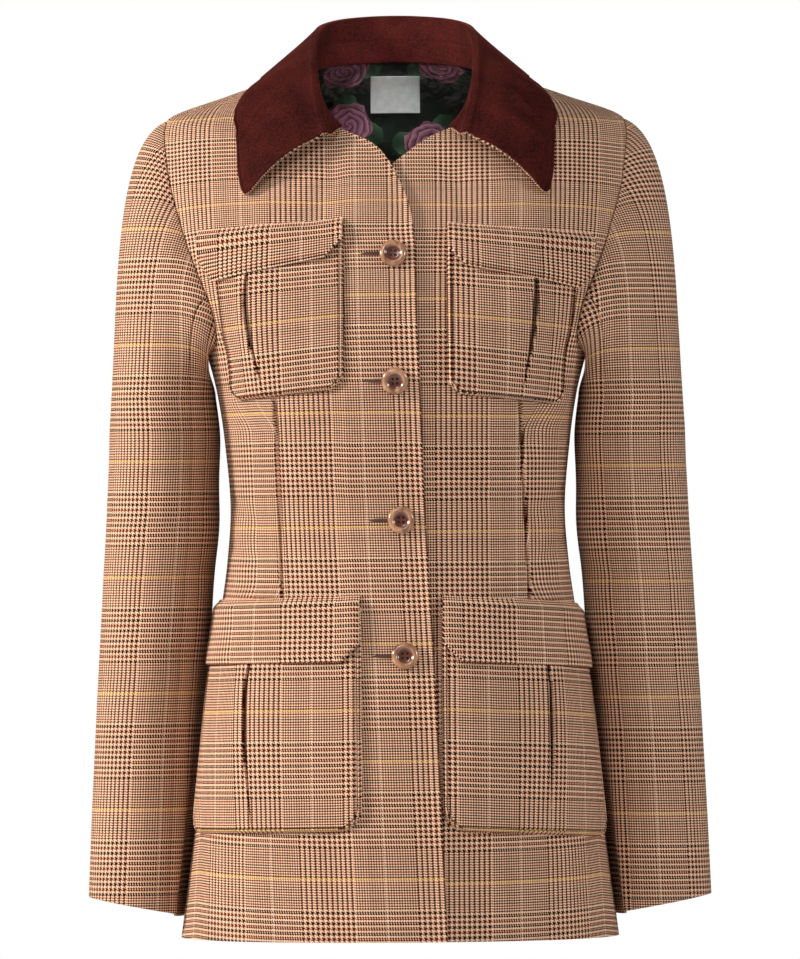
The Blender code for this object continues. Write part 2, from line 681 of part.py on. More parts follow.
def pocket_gusset(kind, side):
    """The bellows strip that joins the bag's sides and bottom to the front."""
    spec = POCKETS[kind, side]
    sides = [(level, 0.0, 1.0, 0.0) for level in pocket_levels(spec)[:3:-1]]
    bends = []
    for b in np.radians([90, 60, 30, 0]):
        level, inset = spec.corner * (1 - math.cos(b)), spec.corner * (1 - math.sin(b))
        bends.append((level, inset, math.sin(b), math.cos(b)))
    stops = [(level, ("in", inset), -out, down) for level, inset, out, down in sides + bends]
    stops += [(0.0, ("share", share), 0.0, 1.0) for share in np.linspace(0.2, 0.8, 7)]
    stops += [(level, ("out", inset), out, down) for level, inset, out, down in (sides + bends)[::-1]]
    rows = []
    for level, (end, amount), out, down in stops:
        width = pocket_place(spec, level, 0)[2]
        share = {"in": amount / width, "share": amount, "out": 1 - amount / width}[end]
        distance, z, _ = pocket_place(spec, level, share)
        row = []
        for lift in (TWEED / 2 + LAYER_GAP, POCKET_FACE + POCKET_CLOTH / 2):
            row.append(on_front(side, distance + out * GUSSET_STEP, z - down * GUSSET_STEP, lift))
        rows.append(row)
    cloth(f"{kind}_pocket_gusset_{side}", to_side(np.array(rows), side), POCKET_CLOTH, "tweed")


def pocket_flap(kind, side):
    """The flap: sewn flat above the bag, deeper at its outer end, with clipped lower corners."""
    spec = POCKETS[kind, side]
    drop = spec.flap_drop
    seam = spec.top - spec.bottom + FLAP_ABOVE
    rows = []
    for down in (0, 0.004, FLAP_ABOVE, (FLAP_ABOVE + drop - FLAP_CLIP) / 2, drop - FLAP_CLIP, drop):
        level = seam - down
        lift = FLAP_ROOT + (FLAP_FACE - FLAP_ROOT) * float(ease(down, 0, FLAP_ABOVE * 0.9))
        clip = max(0.0, down - (drop - FLAP_CLIP))
        spread = spec.flap_spread * max(0.0, down - FLAP_ABOVE) / (drop - FLAP_ABOVE)
        width = pocket_place(spec, level, 0)[2]
        row = []
        for across in np.linspace(clip - FLAP_OVERLAP, width + spec.flap_past - clip, 12):
            distance, z, _ = pocket_place(spec, level, across / width)
            row.append(on_front(side, distance, z - spread * across, lift))
        rows.append(row)
    cloth(f"{kind}_pocket_flap_{side}", to_side(np.array(rows), side), FLAP_CLOTH, "tweed")


# Buttons

def button_mesh():
    """A four-hole button: a turned profile with a rim and a dish, drilled through."""
    outline = [(0.0, 0.0026), (0.0056, 0.0026), (0.0070, 0.0042), (0.0094, 0.0042),
               (BUTTON_RADIUS, 0.0026), (0.0094, 0.0), (0.0, 0.0)]
    shape = bmesh.new()
    points = [shape.verts.new((radius, 0, height)) for radius, height in outline]
    for start, end in zip(points, points[1:]):
        shape.edges.new((start, end))
    mesh = bpy.data.meshes.new("button")
    shape.to_mesh(mesh)
    shape.free()
    turned = add_object("button_blank", mesh, "button")
    screw = turned.modifiers.new("turn", "SCREW")
    screw.steps = screw.render_steps = 16
    screw.use_merge_vertices = True
    screw.merge_threshold = 0.0001

    drill = bmesh.new()
    for k in range(4):
        hole = bmesh.ops.create_cone(drill, cap_ends=True, segments=6, radius1=BUTTON_HOLE_RADIUS,
                                     radius2=BUTTON_HOLE_RADIUS, depth=0.02)
        angle = math.pi / 4 + k * math.pi / 2
        step = (BUTTON_HOLE_STEP * math.cos(angle), BUTTON_HOLE_STEP * math.sin(angle), 0)
        bmesh.ops.translate(drill, vec=step, verts=hole["verts"])
    drill_mesh = bpy.data.meshes.new("drill")
    drill.to_mesh(drill_mesh)
    drill.free()
    cutter = bpy.data.objects.new("button_drill", drill_mesh)
    bpy.data.collections["cutters"].objects.link(cutter)
    cutter.hide_render = True
    cutter.display_type = "WIRE"
    holes = turned.modifiers.new("holes", "BOOLEAN")
    holes.operation = "DIFFERENCE"
    holes.object = cutter

    graph = bpy.context.evaluated_depsgraph_get()
    made = bpy.data.meshes.new_from_object(turned.evaluated_get(graph))
    made.shade_smooth()
    made.set_sharp_from_angle(angle=math.radians(40))
    bpy.data.objects.remove(turned)
    bpy.data.objects.remove(cutter)
    return made


def buttons():
    mesh = button_mesh()
    for number, button in enumerate(BUTTONS, 1):
        turn = turn_at(button.z, -button.past)
        normal = to_side(torso_normal(turn, button.z), "right")
        seat = to_side(on_front("right", -button.past, button.z, TWEED / 2 + BUTTON_GAP), "right")
        obj = add_object(f"button_{number}", mesh, "button")
        obj.location = seat
        lean = math.atan2(-normal[2], math.hypot(normal[0], normal[1]))
        swing = math.atan2(normal[0], -normal[1])
        obj.rotation_euler = (math.pi / 2 + lean, 0, swing)


def main():
    clear_scene()
    for name in ("utility_jacket", "cutters"):
        group = bpy.data.collections.new(name)
        bpy.context.scene.collection.children.link(group)
    back_panel()
    back_lining()
    label()
    collar()
    for side in ("right", "left"):
        front_panel(side)
        sleeve(side)
        for kind in ("chest", "lower"):
            pocket_bag(kind, side)
            pocket_gusset(kind, side)
            pocket_flap(kind, side)
    buttons()


main()
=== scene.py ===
# %% [markdown]
# # A tweed utility jacket with a velvet collar
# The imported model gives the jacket's solids: every piece that a maker would cut and sew, in its worn, hollow
# form. This lesson dresses each of them. The shapes come from the same few tables as the solids, read much
# more finely, so that a cloth piece lies exactly where its solid lies. What is new here is the drape, the
# weave, the print of the lining, the stitching and the light.

# %% The frame
import math
from collections import namedtuple

import bmesh
import bpy
import numpy as np
from mathutils import Matrix, Vector


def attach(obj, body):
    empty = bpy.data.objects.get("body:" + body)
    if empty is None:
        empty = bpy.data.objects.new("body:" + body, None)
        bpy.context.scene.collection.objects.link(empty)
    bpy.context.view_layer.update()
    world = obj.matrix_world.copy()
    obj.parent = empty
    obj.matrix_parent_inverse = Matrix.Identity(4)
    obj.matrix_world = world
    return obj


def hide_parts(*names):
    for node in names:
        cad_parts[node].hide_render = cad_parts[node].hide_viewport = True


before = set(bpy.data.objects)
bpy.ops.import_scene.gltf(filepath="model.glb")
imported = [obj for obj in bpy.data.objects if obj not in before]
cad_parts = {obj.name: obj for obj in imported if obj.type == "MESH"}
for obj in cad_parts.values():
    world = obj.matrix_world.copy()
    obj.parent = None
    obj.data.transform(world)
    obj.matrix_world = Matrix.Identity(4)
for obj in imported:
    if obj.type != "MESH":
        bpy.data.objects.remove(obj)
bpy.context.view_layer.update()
print("nodes:", len(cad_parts))

# %% [markdown]
# ## One form for the whole jacket
# A tailor cuts a jacket for a figure that is described by a few girths. So does this script: horizontal
# sections of the torso, each with a half width, a depth to the front and to the back, and how square it is.
# Modelling each panel by hand would be the other way, but then neighbours would not meet at their seams.

# %% Sections of the torso, in metres from the neck
Section = namedtuple("Section", "z half_width front back square lean")
TORSO = [
    Section(-0.704, 0.1785, 0.1380, 0.1300, 2.15, 0.00),
    Section(-0.600, 0.1650, 0.1310, 0.1240, 2.15, 0.00),
    Section(-0.500, 0.1530, 0.1220, 0.1110, 2.15, 0.00),
    Section(-0.440, 0.1450, 0.1140, 0.0970, 2.15, 0.00),
    Section(-0.396, 0.1390, 0.1070, 0.0860, 2.15, 0.00),
    Section(-0.355, 0.1362, 0.1040, 0.0800, 2.20, 0.00),
    Section(-0.298, 0.1406, 0.1140, 0.0870, 2.30, 0.00),
    Section(-0.260, 0.1462, 0.1220, 0.0950, 2.40, 0.00),
    Section(-0.228, 0.1545, 0.1250, 0.1010, 2.40, 0.00),
    Section(-0.193, 0.1690, 0.1230, 0.1040, 2.40, 0.01),
    Section(-0.162, 0.1820, 0.1190, 0.1060, 2.35, 0.03),
    Section(-0.121, 0.1930, 0.1100, 0.1040, 2.25, 0.07),
    Section(-0.084, 0.1970, 0.0960, 0.0980, 2.20, 0.11),
    Section(-0.050, 0.1930, 0.0780, 0.0890, 2.10, 0.15),
    Section(-0.036, 0.1870, 0.0710, 0.0830, 2.05, 0.17),
    Section(-0.019, 0.1430, 0.0620, 0.0740, 2.00, 0.19),
    Section(-0.008, 0.1100, 0.0560, 0.0660, 2.00, 0.20),
    Section(0.003, 0.0740, 0.0520, 0.0600, 2.00, 0.20),
]
HEM_Z = -0.704
WAIST_Z = -0.355
NECK_RING_Z = 0.003


def column(table, name):
    return np.array([getattr(row, name) for row in table], float)


def smooth(knots, values, at):
    """A cubic curve through the knots that never overshoots them."""
    knots = np.asarray(knots, float)
    values = np.asarray(values, float)
    step = np.diff(knots)
    rise = np.diff(values) / step
    slope = np.concatenate([rise[:1], np.zeros(len(rise) - 1), rise[-1:]])
    same_way = rise[:-1] * rise[1:] > 0
    both = (rise[:-1] + rise[1:])[same_way]
    slope[1:-1][same_way] = 2 * rise[:-1][same_way] * rise[1:][same_way] / both
    at = np.clip(at, knots[0], knots[-1])
    k = np.clip(np.searchsorted(knots, at, side="right") - 1, 0, len(step) - 1)
    t = (at - knots[k]) / step[k]
    bend_in = slope[k] * step[k] * t * (1 - t) ** 2
    bend_out = slope[k + 1] * step[k] * t * t * (t - 1)
    return values[k] * (1 - t) ** 2 * (1 + 2 * t) + values[k + 1] * t * t * (3 - 2 * t) + bend_in + bend_out


def read(table, name, at):
    return smooth(column(table, table[0]._fields[0]), column(table, name), at)


def ease(value, start, end):
    """0 before start, 1 after end, smooth between them."""
    t = np.clip((value - start) / (end - start), 0, 1)
    return t * t * (3 - 2 * t)


def within(value, rise, fall):
    """1 from the end of the rise to the start of the fall, and 0 before and after them."""
    return ease(value, *rise) * (1 - ease(value, *fall))


def unit(vectors):
    return vectors / np.linalg.norm(vectors, axis=-1, keepdims=True)


def torso(turn, z):
    """A point of the form at a turn from the centre front (0) round the side (pi / 2) to the back (pi)."""
    turn, z = np.broadcast_arrays(np.asarray(turn, float), np.asarray(z, float))
    power = 2 / read(TORSO, "square", z)
    ahead = np.cos(turn)
    across = np.sin(turn)
    x = read(TORSO, "half_width", z) * np.sign(across) * np.abs(across) ** power
    depth = np.where(ahead > 0, -read(TORSO, "front", z), read(TORSO, "back", z))
    y = depth * np.abs(ahead) ** power
    return np.stack([x, y, z + read(TORSO, "lean", z) * y], axis=-1)


def torso_normal(turn, z):
    small = 1e-4
    across = torso(turn + small, z) - torso(turn - small, z)
    up = torso(turn, z + small) - torso(turn, z - small)
    return unit(np.cross(across, up))


waist = torso(np.linspace(0, 2 * math.pi, 361), WAIST_Z)
print("waist, all round:", round(float(np.linalg.norm(np.diff(waist, axis=0), axis=1).sum()), 3), "m")

# %% [markdown]
# ## Measuring along the cloth
# A tape laid on the form measures how far round a point is from the centre line, and how far up the cloth it
# is along the grain.

# %% Tape measure tables
LEVELS = np.arange(HEM_Z - 0.006, NECK_RING_Z + 0.0061, 0.001)
TURNS = np.linspace(-math.pi / 2, math.pi / 2, 361)
ROUND = np.arange(-0.300, 0.3001, 0.001)


def between(table, rows, columns, row_at, column_at):
    """A reading between the four nearest entries of an evenly spaced table."""
    row_at, column_at = np.broadcast_arrays(np.asarray(row_at, float), np.asarray(column_at, float))
    r = np.clip((row_at - rows[0]) / (rows[1] - rows[0]), 0, len(rows) - 1.001)
    c = np.clip((column_at - columns[0]) / (columns[1] - columns[0]), 0, len(columns) - 1.001)
    i = r.astype(int)
    j = c.astype(int)
    low = table[i, j] * (1 - c + j) + table[i, j + 1] * (c - j)
    high = table[i + 1, j] * (1 - c + j) + table[i + 1, j + 1] * (c - j)
    return low * (1 - r + i) + high * (r - i)


def lengths_from_start(points, axis):
    """How far each point of a grid lies along its row (1) or its column (0)."""
    steps = np.linalg.norm(np.diff(points, axis=axis), axis=2)
    start = np.zeros((len(points), 1)) if axis else np.zeros((1, points.shape[1]))
    return np.concatenate([start, np.cumsum(steps, axis=axis)], axis=axis)


tape = {}
for back in (False, True):
    rings = torso(TURNS[None, :] + math.pi * back, LEVELS[:, None])
    far = lengths_from_start(rings, 1)
    far -= far[:, [len(TURNS) // 2]]
    turns = np.array([np.interp(ROUND, row, TURNS) for row in far])
    up = lengths_from_start(torso(turns + math.pi * back, LEVELS[:, None]), 0)
    up += WAIST_Z - up[[np.argmin(np.abs(LEVELS - WAIST_Z))]]
    tape[back] = (far, turns, up)


def turn_at(z, distance, back=False):
    return between(tape[back][1], LEVELS, ROUND, z, distance)


def distance_at(z, turn, back=False):
    return between(tape[back][0], LEVELS, TURNS, z, turn)


def grain_at(z, distance, back=False):
    """How far up the cloth a point is, along the grain, and equal to z at the waist."""
    return between(tape[back][2], LEVELS, ROUND, z, distance)


def turn_of_width(z, x):
    share = np.clip(np.abs(x) / read(TORSO, "half_width", z), 0, 1)
    return np.sign(x) * np.arcsin(share ** (read(TORSO, "square", z) / 2))


print("half hem:", round(float(2 * distance_at(HEM_Z, math.pi / 2)), 3), "m across the front")

# %% [markdown]
# ## Colours and a few helpers for materials
# Colours are written as sRGB hex values, as a paint chart gives them, and turned to the linear light that
# Blender works in. One helper adds a node with its settings and links, and short ones name what the
# materials share: a noise of a given size, a mix of two colours, a bump. Chains of arithmetic are written as
# short tables of named steps, because a check pattern is arithmetic on thread numbers.

# %% Helpers for the materials
def linear(code):
    """The linear colour of an sRGB hex value."""
    parts = [int(code[k:k + 2], 16) / 255 for k in (1, 3, 5)]
    light = [p / 12.92 if p <= 0.04045 else ((p + 0.055) / 1.055) ** 2.4 for p in parts]
    return (*light, 1.0)


def set_inputs(tree, node, inputs):
    """Sets each input to a value, or links it to another node's output."""
    for socket, value in inputs.items():
        if isinstance(value, bpy.types.NodeSocket):
            tree.links.new(value, node.inputs[socket])
        else:
            node.inputs[socket].default_value = value


def add_node(tree, kind, inputs=None, **settings):
    """A node with its settings, its inputs set to values or linked to other nodes' outputs."""
    node = tree.nodes.new(kind)
    for name, value in settings.items():
        setattr(node, name, value)
    set_inputs(tree, node, inputs or {})
    return node


def on_cloth(tree):
    """Where a point lies on its flat cloth, in metres across and up."""
    return add_node(tree, "ShaderNodeUVMap", uv_map="cloth").outputs[0]


def noise(tree, at, size, detail, **more):
    inputs = {"Vector": at, "Scale": 1 / size, "Detail": detail, **more}
    return add_node(tree, "ShaderNodeTexNoise", inputs).outputs[0]


def mix(tree, share, below, above):
    inputs = {0: share, 6: below, 7: above}
    return add_node(tree, "ShaderNodeMix", inputs, data_type="RGBA", clamp_factor=True).outputs[2]


def bump(tree, height, strength, distance):
    inputs = {"Height": height, "Strength": strength, "Distance": distance}
    return add_node(tree, "ShaderNodeBump", inputs).outputs[0]


Layer = namedtuple("Layer", "gives share below above")


def lay(tree, shares, shades, layers):
    """Lays one colour over another for each layer. A layer may name the result of an earlier one."""
    for layer in layers:
        shades[layer.gives] = mix(tree, shares[layer.share], shades[layer.below], shades[layer.above])
    return shades[layers[-1].gives]


Step = namedtuple("Step", "gives does first second third", defaults=(0.0, 0.0))


def work_out(tree, known, steps):
    """Adds one arithmetic node for each step. A step may name the result of an earlier one."""
    for step in steps:
        values = {k: known.get(v, v) for k, v in enumerate(step[2:])}
        known[step.gives] = add_node(tree, "ShaderNodeMath", values, operation=step.does).outputs[0]
    return known


def new_material(name):
    material = bpy.data.materials.new(name)
    material.use_nodes = True
    tree = material.node_tree
    return material, tree, tree.nodes["Principled BSDF"]


print("linear mid grey:", [round(v, 3) for v in linear("#808080")[:3]])

# %% [markdown]
# ## Wool tweed in a glen check
# A glen check is woven in 2/2 twill from a light and a dark yarn: bands of four dark and four light threads,
# which make the toothed squares, cross bands of two and two, which make the hairlines. Here a gold weft line
# runs through the middle of each hairline band and a pale warp line crosses it, and every second dark weft
# group is rust. An image would be easy but would not stay sharp. Counting threads gives the very same cloth
# at any distance, so each material point works out which warp end and which weft pick lie there, and which
# one is on top. A thread is 0.53 mm, as in a medium jacketing, and the dark yarn is spun a little thicker,
# so it takes some of the light yarn's room.

# %% The tweed material
THREAD = 0.00053
BOLD = 88
FINE = 92
REPEAT = BOLD + FINE
# How much room, in threads, a group of dark yarn takes from the light yarn beside it
THICKER_BOLD = 0.45
THICKER_FINE = 0.315
# Half the width of the coloured lines, in threads
GOLD_HALF = 1.9
PALE_HALF = 0.8
FLECK_SIZE = 0.0012
DRIFT_SIZE = 0.030
YARNS = {"light": "#FBD0AF", "brown": "#360E05", "olive": "#331709", "rust": "#782814",
         "gold": "#EFBE70", "pale": "#FCE2C8"}

tweed, tree, shader = new_material("wool_tweed_glen_check")
place = on_cloth(tree)
parts = add_node(tree, "ShaderNodeSeparateXYZ", {0: place})
known = work_out(tree, {"u": parts.outputs[0], "v": parts.outputs[1]}, [
    Step("across", "DIVIDE", "u", THREAD),
    Step("up", "DIVIDE", "v", THREAD),
    Step("end", "FLOOR", "across"),
    Step("pick", "FLOOR", "up"),
    Step("both", "ADD", "end", "pick"),
    Step("twill", "FLOORED_MODULO", "both", 4),
    Step("warp_on_top", "LESS_THAN", "twill", 1.5),
])
for yarn, number in (("warp", "across"), ("weft", "up")):
    work_out(tree, known, [
        Step("shifted", "ADD", number, FINE / 2),
        Step(yarn + "_place", "FLOORED_MODULO", "shifted", REPEAT),
        Step("is_fine", "LESS_THAN", yarn + "_place", FINE),
        Step("in_two", "FLOORED_MODULO", yarn + "_place", 4),
        Step("fine_dark", "LESS_THAN", "in_two", 2 + THICKER_FINE),
        Step("past", "SUBTRACT", yarn + "_place", FINE),
        Step("in_four", "FLOORED_MODULO", "past", 8),
        Step("bold_dark", "LESS_THAN", "in_four", 4 + THICKER_BOLD),
        Step("less", "SUBTRACT", "fine_dark", "bold_dark"),
        Step(yarn + "_dark", "MULTIPLY_ADD", "less", "is_fine", "bold_dark"),
    ])
# Each yarn takes dye a little differently, and its fibres catch light in flecks a thread or two wide
for name in ("end", "pick"):
    tint = add_node(tree, "ShaderNodeTexWhiteNoise", {"W": known[name]}, noise_dimensions="1D")
    known[name + "_tint"] = tint.outputs["Value"]
known["flecks"] = noise(tree, place, FLECK_SIZE, 3.0, Roughness=0.7)
known["drifts"] = noise(tree, place, DRIFT_SIZE, 2.0)
work_out(tree, known, [
    Step("pair", "FLOORED_MODULO", "past", 16),
    Step("rust_group", "GREATER_THAN", "pair", 7.5),
    Step("gold_line", "COMPARE", "weft_place", FINE / 2, GOLD_HALF),
    Step("pale_line", "COMPARE", "warp_place", FINE / 2, PALE_HALF),
    Step("tints", "ADD", "end_tint", "pick_tint"),
    Step("by_tint", "MULTIPLY_ADD", "tints", 0.17, 0.40),
    Step("by_fleck", "MULTIPLY_ADD", "flecks", 0.66, "by_tint"),
    Step("value", "MULTIPLY_ADD", "drifts", 0.14, "by_fleck"),
    Step("warp_round", "PINGPONG", "across", 0.5),
    Step("weft_round", "PINGPONG", "up", 0.5),
    Step("rounder", "SUBTRACT", "warp_round", "weft_round"),
    Step("yarn_round", "MULTIPLY_ADD", "rounder", "warp_on_top", "weft_round"),
    Step("relief", "MULTIPLY_ADD", "flecks", 0.35, "yarn_round"),
])
woven = lay(tree, known, {name: linear(code) for name, code in YARNS.items()}, [
    Layer("warp", "warp_dark", "light", "brown"),
    Layer("warp", "pale_line", "warp", "pale"),
    Layer("dark_weft", "rust_group", "olive", "rust"),
    Layer("weft", "weft_dark", "light", "dark_weft"),
    Layer("weft", "gold_line", "weft", "gold"),
    Layer("cloth", "warp_on_top", "weft", "warp"),
])
dyed = add_node(tree, "ShaderNodeHueSaturation", {"Value": known["value"], "Color": woven})
set_inputs(tree, shader, {
    "Base Color": dyed.outputs[0],
    "Normal": bump(tree, known["relief"], 0.55, 0.0004),
    "Roughness": 0.86,
    "Specular IOR Level": 0.08,
    "Sheen Weight": 0.02,
    "Sheen Roughness": 0.45,
    "Sheen Tint": linear("#F2D9BE"),
})
print("check repeat:", round(REPEAT * THREAD * 1000, 1), "mm")

# %% [markdown]
# ## Cotton velvet
# Velvet is a short, dense pile. Light that grazes it glows along the edges, and wherever the pile leans the
# other way it looks darker. A sheen layer gives the glow. A slow noise paints darker patches into the colour,
# as painted shade where the pile would lean away, and a fine noise breaks it up at about two millimetres,
# coarser than real tufts, so that the picture can show them.

# %% The velvet material
SHADE_PATCH_SIZE = 0.022
TUFT_SIZE = 0.0018
velvet, tree, shader = new_material("cotton_velvet")
spot = add_node(tree, "ShaderNodeTexCoord").outputs["Object"]
lean = noise(tree, spot, SHADE_PATCH_SIZE, 3.0)
tufts = noise(tree, spot, TUFT_SIZE, 2.0, Roughness=0.7)
# Painted shade: the slow noise darkens the velvet's colour in patches, standing for pile that leans away from
# the light
known = work_out(tree, {"lean": lean, "tufts": tufts}, [
    Step("patches", "MULTIPLY_ADD", "lean", 0.9, -0.75),
    Step("pile", "MULTIPLY_ADD", "tufts", 1.60, "patches"),
])
set_inputs(tree, shader, {
    "Base Color": mix(tree, known["pile"], linear("#130404"), linear("#561D18")),
    "Normal": bump(tree, known["pile"], 0.5, 0.0006),
    "Roughness": 0.9,
    "Specular IOR Level": 0.1,
    "Sheen Weight": 0.45,
    "Sheen Roughness": 0.35,
    "Sheen Tint": linear("#A85546"),
})
print("velvet tufts:", TUFT_SIZE * 1000, "mm")

# %% [markdown]
# ## Printed satin lining and a blank label
# The lining is a dark satin with large roses. The print here is a plain one of its own: scattered points
# grow a rose each, a spiral of petals round its middle, with a few leaves behind it. Scattering comes from a
# Voronoi texture, which gives every point of the cloth its nearest rose, so no rose is placed by hand.

# %% The lining and label materials
FULL_TURN = 2 * math.pi
ROSE_SPACING = 0.062
ROSE_RADIUS = 0.0235
PETAL_STEP = 0.0052
RAGGED_SIZE = 0.008
CREASE_SIZE = 0.014
lining_satin, tree, shader = new_material("printed_satin")
place = on_cloth(tree)
roses = add_node(tree, "ShaderNodeTexVoronoi", {"Vector": place, "Scale": 1 / ROSE_SPACING,
                                                "Randomness": 0.75}, voronoi_dimensions="2D")
away = add_node(tree, "ShaderNodeVectorMath", {0: place, 1: roses.outputs["Position"]}, operation="SUBTRACT")
sides = add_node(tree, "ShaderNodeSeparateXYZ", {0: away.outputs[0]})
own = add_node(tree, "ShaderNodeSeparateColor", {0: roses.outputs["Color"]})
known = {"x": sides.outputs[0], "y": sides.outputs[1], "own": own.outputs[0],
         "ragged": noise(tree, place, RAGGED_SIZE, 3.0)}
work_out(tree, known, [
    Step("xx", "MULTIPLY", "x", "x"),
    Step("rr", "MULTIPLY_ADD", "y", "y", "xx"),
    Step("smooth_radius", "SQRT", "rr"),
    Step("radius", "MULTIPLY_ADD", "ragged", 0.007, "smooth_radius"),
    Step("plain_angle", "ARCTAN2", "y", "x"),
    Step("angle", "MULTIPLY_ADD", "own", FULL_TURN, "plain_angle"),
    Step("turned", "MULTIPLY", "angle", 2 / FULL_TURN),
    Step("spiral", "MULTIPLY_ADD", "radius", 1 / PETAL_STEP, "turned"),
    Step("petal", "FRACT", "spiral"),
    Step("five", "MULTIPLY", "angle", 5.0),
    Step("lobes", "SINE", "five"),
    Step("edge", "MULTIPLY_ADD", "lobes", 0.0014, ROSE_RADIUS),
    Step("in_rose", "LESS_THAN", "radius", "edge"),
    Step("three", "MULTIPLY", "angle", 3.0),
    Step("leaf_lobes", "SINE", "three"),
    Step("leaf_reach", "MULTIPLY_ADD", "leaf_lobes", 0.012, ROSE_RADIUS),
    Step("in_leaf", "LESS_THAN", "radius", "leaf_reach"),
    Step("vein", "MULTIPLY", "leaf_lobes", 0.9),
    Step("spread", "MULTIPLY_ADD", "petal", 0.9, -0.12),
    Step("shading", "MULTIPLY_ADD", "ragged", 0.35, "spread"),
])
shades = {"ground": linear("#18211D"), "deep": linear("#3D1E2C"), "pink": linear("#C08098"),
          "moss": linear("#1F3326"), "leaf": linear("#55755A")}
printed = lay(tree, known, shades, [
    Layer("leaves", "vein", "leaf", "moss"),
    Layer("petals", "shading", "deep", "pink"),
    Layer("with_leaves", "in_leaf", "ground", "leaves"),
    Layer("print", "in_rose", "with_leaves", "petals"),
])
set_inputs(tree, shader, {
    "Base Color": printed,
    "Normal": bump(tree, noise(tree, place, CREASE_SIZE, 2.0), 0.8, 0.004),
    "Roughness": 0.34,
    "Specular IOR Level": 0.5,
})

RIB_SIZE = 0.0040
MOTTLE_SIZE = 0.006
label_satin, tree, shader = new_material("woven_satin_label")
place = on_cloth(tree)
ribs = add_node(tree, "ShaderNodeTexWave", {"Vector": place, "Scale": 1 / RIB_SIZE, "Distortion": 1.5,
                                            "Detail": 1.0}, bands_direction="Y").outputs["Fac"]
known = work_out(tree, {"ribs": ribs, "mottle": noise(tree, place, MOTTLE_SIZE, 2.0)}, [
    Step("share", "MULTIPLY_ADD", "ribs", 0.25, "mottle"),
])
set_inputs(tree, shader, {
    "Base Color": mix(tree, known["share"], linear("#C2C6C5"), linear("#F4F5F3")),
    "Normal": bump(tree, ribs, 0.3, 0.0002),
    "Roughness": 0.42,
})
print("roses about", ROSE_SPACING * 1000, "mm apart")

# %% [markdown]
# ## Horn-look buttons and sewing thread
# The buttons are cast polyester, tinted in streaks like horn and polished, so they show a clear highlight on
# the rim. The streaks are noise stretched along one direction, a few millimetres wide. The dish is painted
# darker than the rim, by the radius that the button's UV map holds, as painted shade in its hollow. Buttonhole
# thread is a twisted silky yarn: its stitches lie side by side, about half a millimetre each, and are drawn as
# fine ribs, each painted lighter in its middle and darker where it meets the next, as painted shade between
# them.

# %% The button and thread materials
STREAK_SIZE = 0.0060
DISH_RADIUS = 0.0056
RIM_BLEND = 0.0014
horn, tree, shader = new_material("cast_polyester_horn")
spot = add_node(tree, "ShaderNodeTexCoord")
drawn = add_node(tree, "ShaderNodeMapping", {"Vector": spot.outputs["Object"], "Rotation": (0, 0.5, 0),
                                             "Scale": (1.0, 1.0, 0.35)})
parts = add_node(tree, "ShaderNodeSeparateXYZ", {0: on_cloth(tree)})
streaks = noise(tree, drawn.outputs[0], STREAK_SIZE, 3.0, Distortion=0.6)
known = work_out(tree, {"streaks": streaks, "radius": parts.outputs[0]}, [
    Step("share", "MULTIPLY_ADD", "streaks", 2.2, -0.62),
    Step("past_dish", "SUBTRACT", "radius", DISH_RADIUS),
    Step("on_rim", "DIVIDE", "past_dish", RIM_BLEND),
])
# Painted shade: the dish is coloured darker than the rim, standing for the shade in its hollow
shades = {"dark": linear("#744636"), "amber": linear("#D3A077"), "dish": linear("#633B31")}
set_inputs(tree, shader, {
    "Base Color": lay(tree, known, shades, [Layer("rim", "share", "dark", "amber"),
                                            Layer("horn", "on_rim", "dish", "rim")]),
    "Roughness": 0.22,
    "IOR": 1.56,
    "Coat Weight": 0.5,
    "Coat Roughness": 0.08,
})

HALF_STITCH = 0.0003
silk, tree, shader = new_material("buttonhole_twist")
parts = add_node(tree, "ShaderNodeSeparateXYZ", {0: on_cloth(tree)})
# Painted highlight and shade: each stitch is coloured lighter in its middle and darker where it meets the next
known = work_out(tree, {"along": parts.outputs[0]}, [
    Step("stitch", "PINGPONG", "along", HALF_STITCH),
    Step("share", "MULTIPLY", "stitch", 1 / HALF_STITCH),
])
set_inputs(tree, shader, {
    "Base Color": mix(tree, known["share"], linear("#3A2018"), linear("#6E4836")),
    "Normal": bump(tree, known["share"], 0.6, 0.0002),
    "Roughness": 0.55,
})
print("materials:", [m.name for m in (tweed, velvet, lining_satin, label_satin, horn, silk)])

# %% [markdown]
# ## A piece of cloth from a grid
# Every cloth piece is a rectangle of threads that was cut to shape and bent. So each starts as a flat bmesh
# grid, its points are moved to where the cloth hangs, and it carries a UV map in metres that says which
# threads lie there. A Solidify modifier gives it the wall, a small Bevel rounds the cut edge, and the
# sheet's flat size is measured on the grid itself, net of seam allowance.

# %% Cloth pieces
TWEED = 0.0018
LAYER_GAP = 0.0008
SEAM = 0.0004
# A narrower strip is cut at least this wide, because its edges are turned in
LEAST_CUT = 0.0105


def mesh_of(shape, name):
    mesh = bpy.data.meshes.new(name)
    shape.to_mesh(mesh)
    shape.free()
    return mesh


def put(name, data):
    """A new object in the scene."""
    thing = bpy.data.objects.new(name, data)
    bpy.context.scene.collection.objects.link(thing)
    return thing


def points_of(mesh):
    flat = np.empty(len(mesh.vertices) * 3, np.float32)
    mesh.vertices.foreach_get("co", flat)
    return flat.reshape(-1, 3)


def set_cloth_map(mesh, values):
    """A UV map from the pair of values of each point."""
    corners = np.empty(len(mesh.loops), np.int32)
    mesh.loops.foreach_get("vertex_index", corners)
    layer = mesh.uv_layers.new(name="cloth")
    layer.data.foreach_set("uv", values[corners].astype(np.float32).ravel())


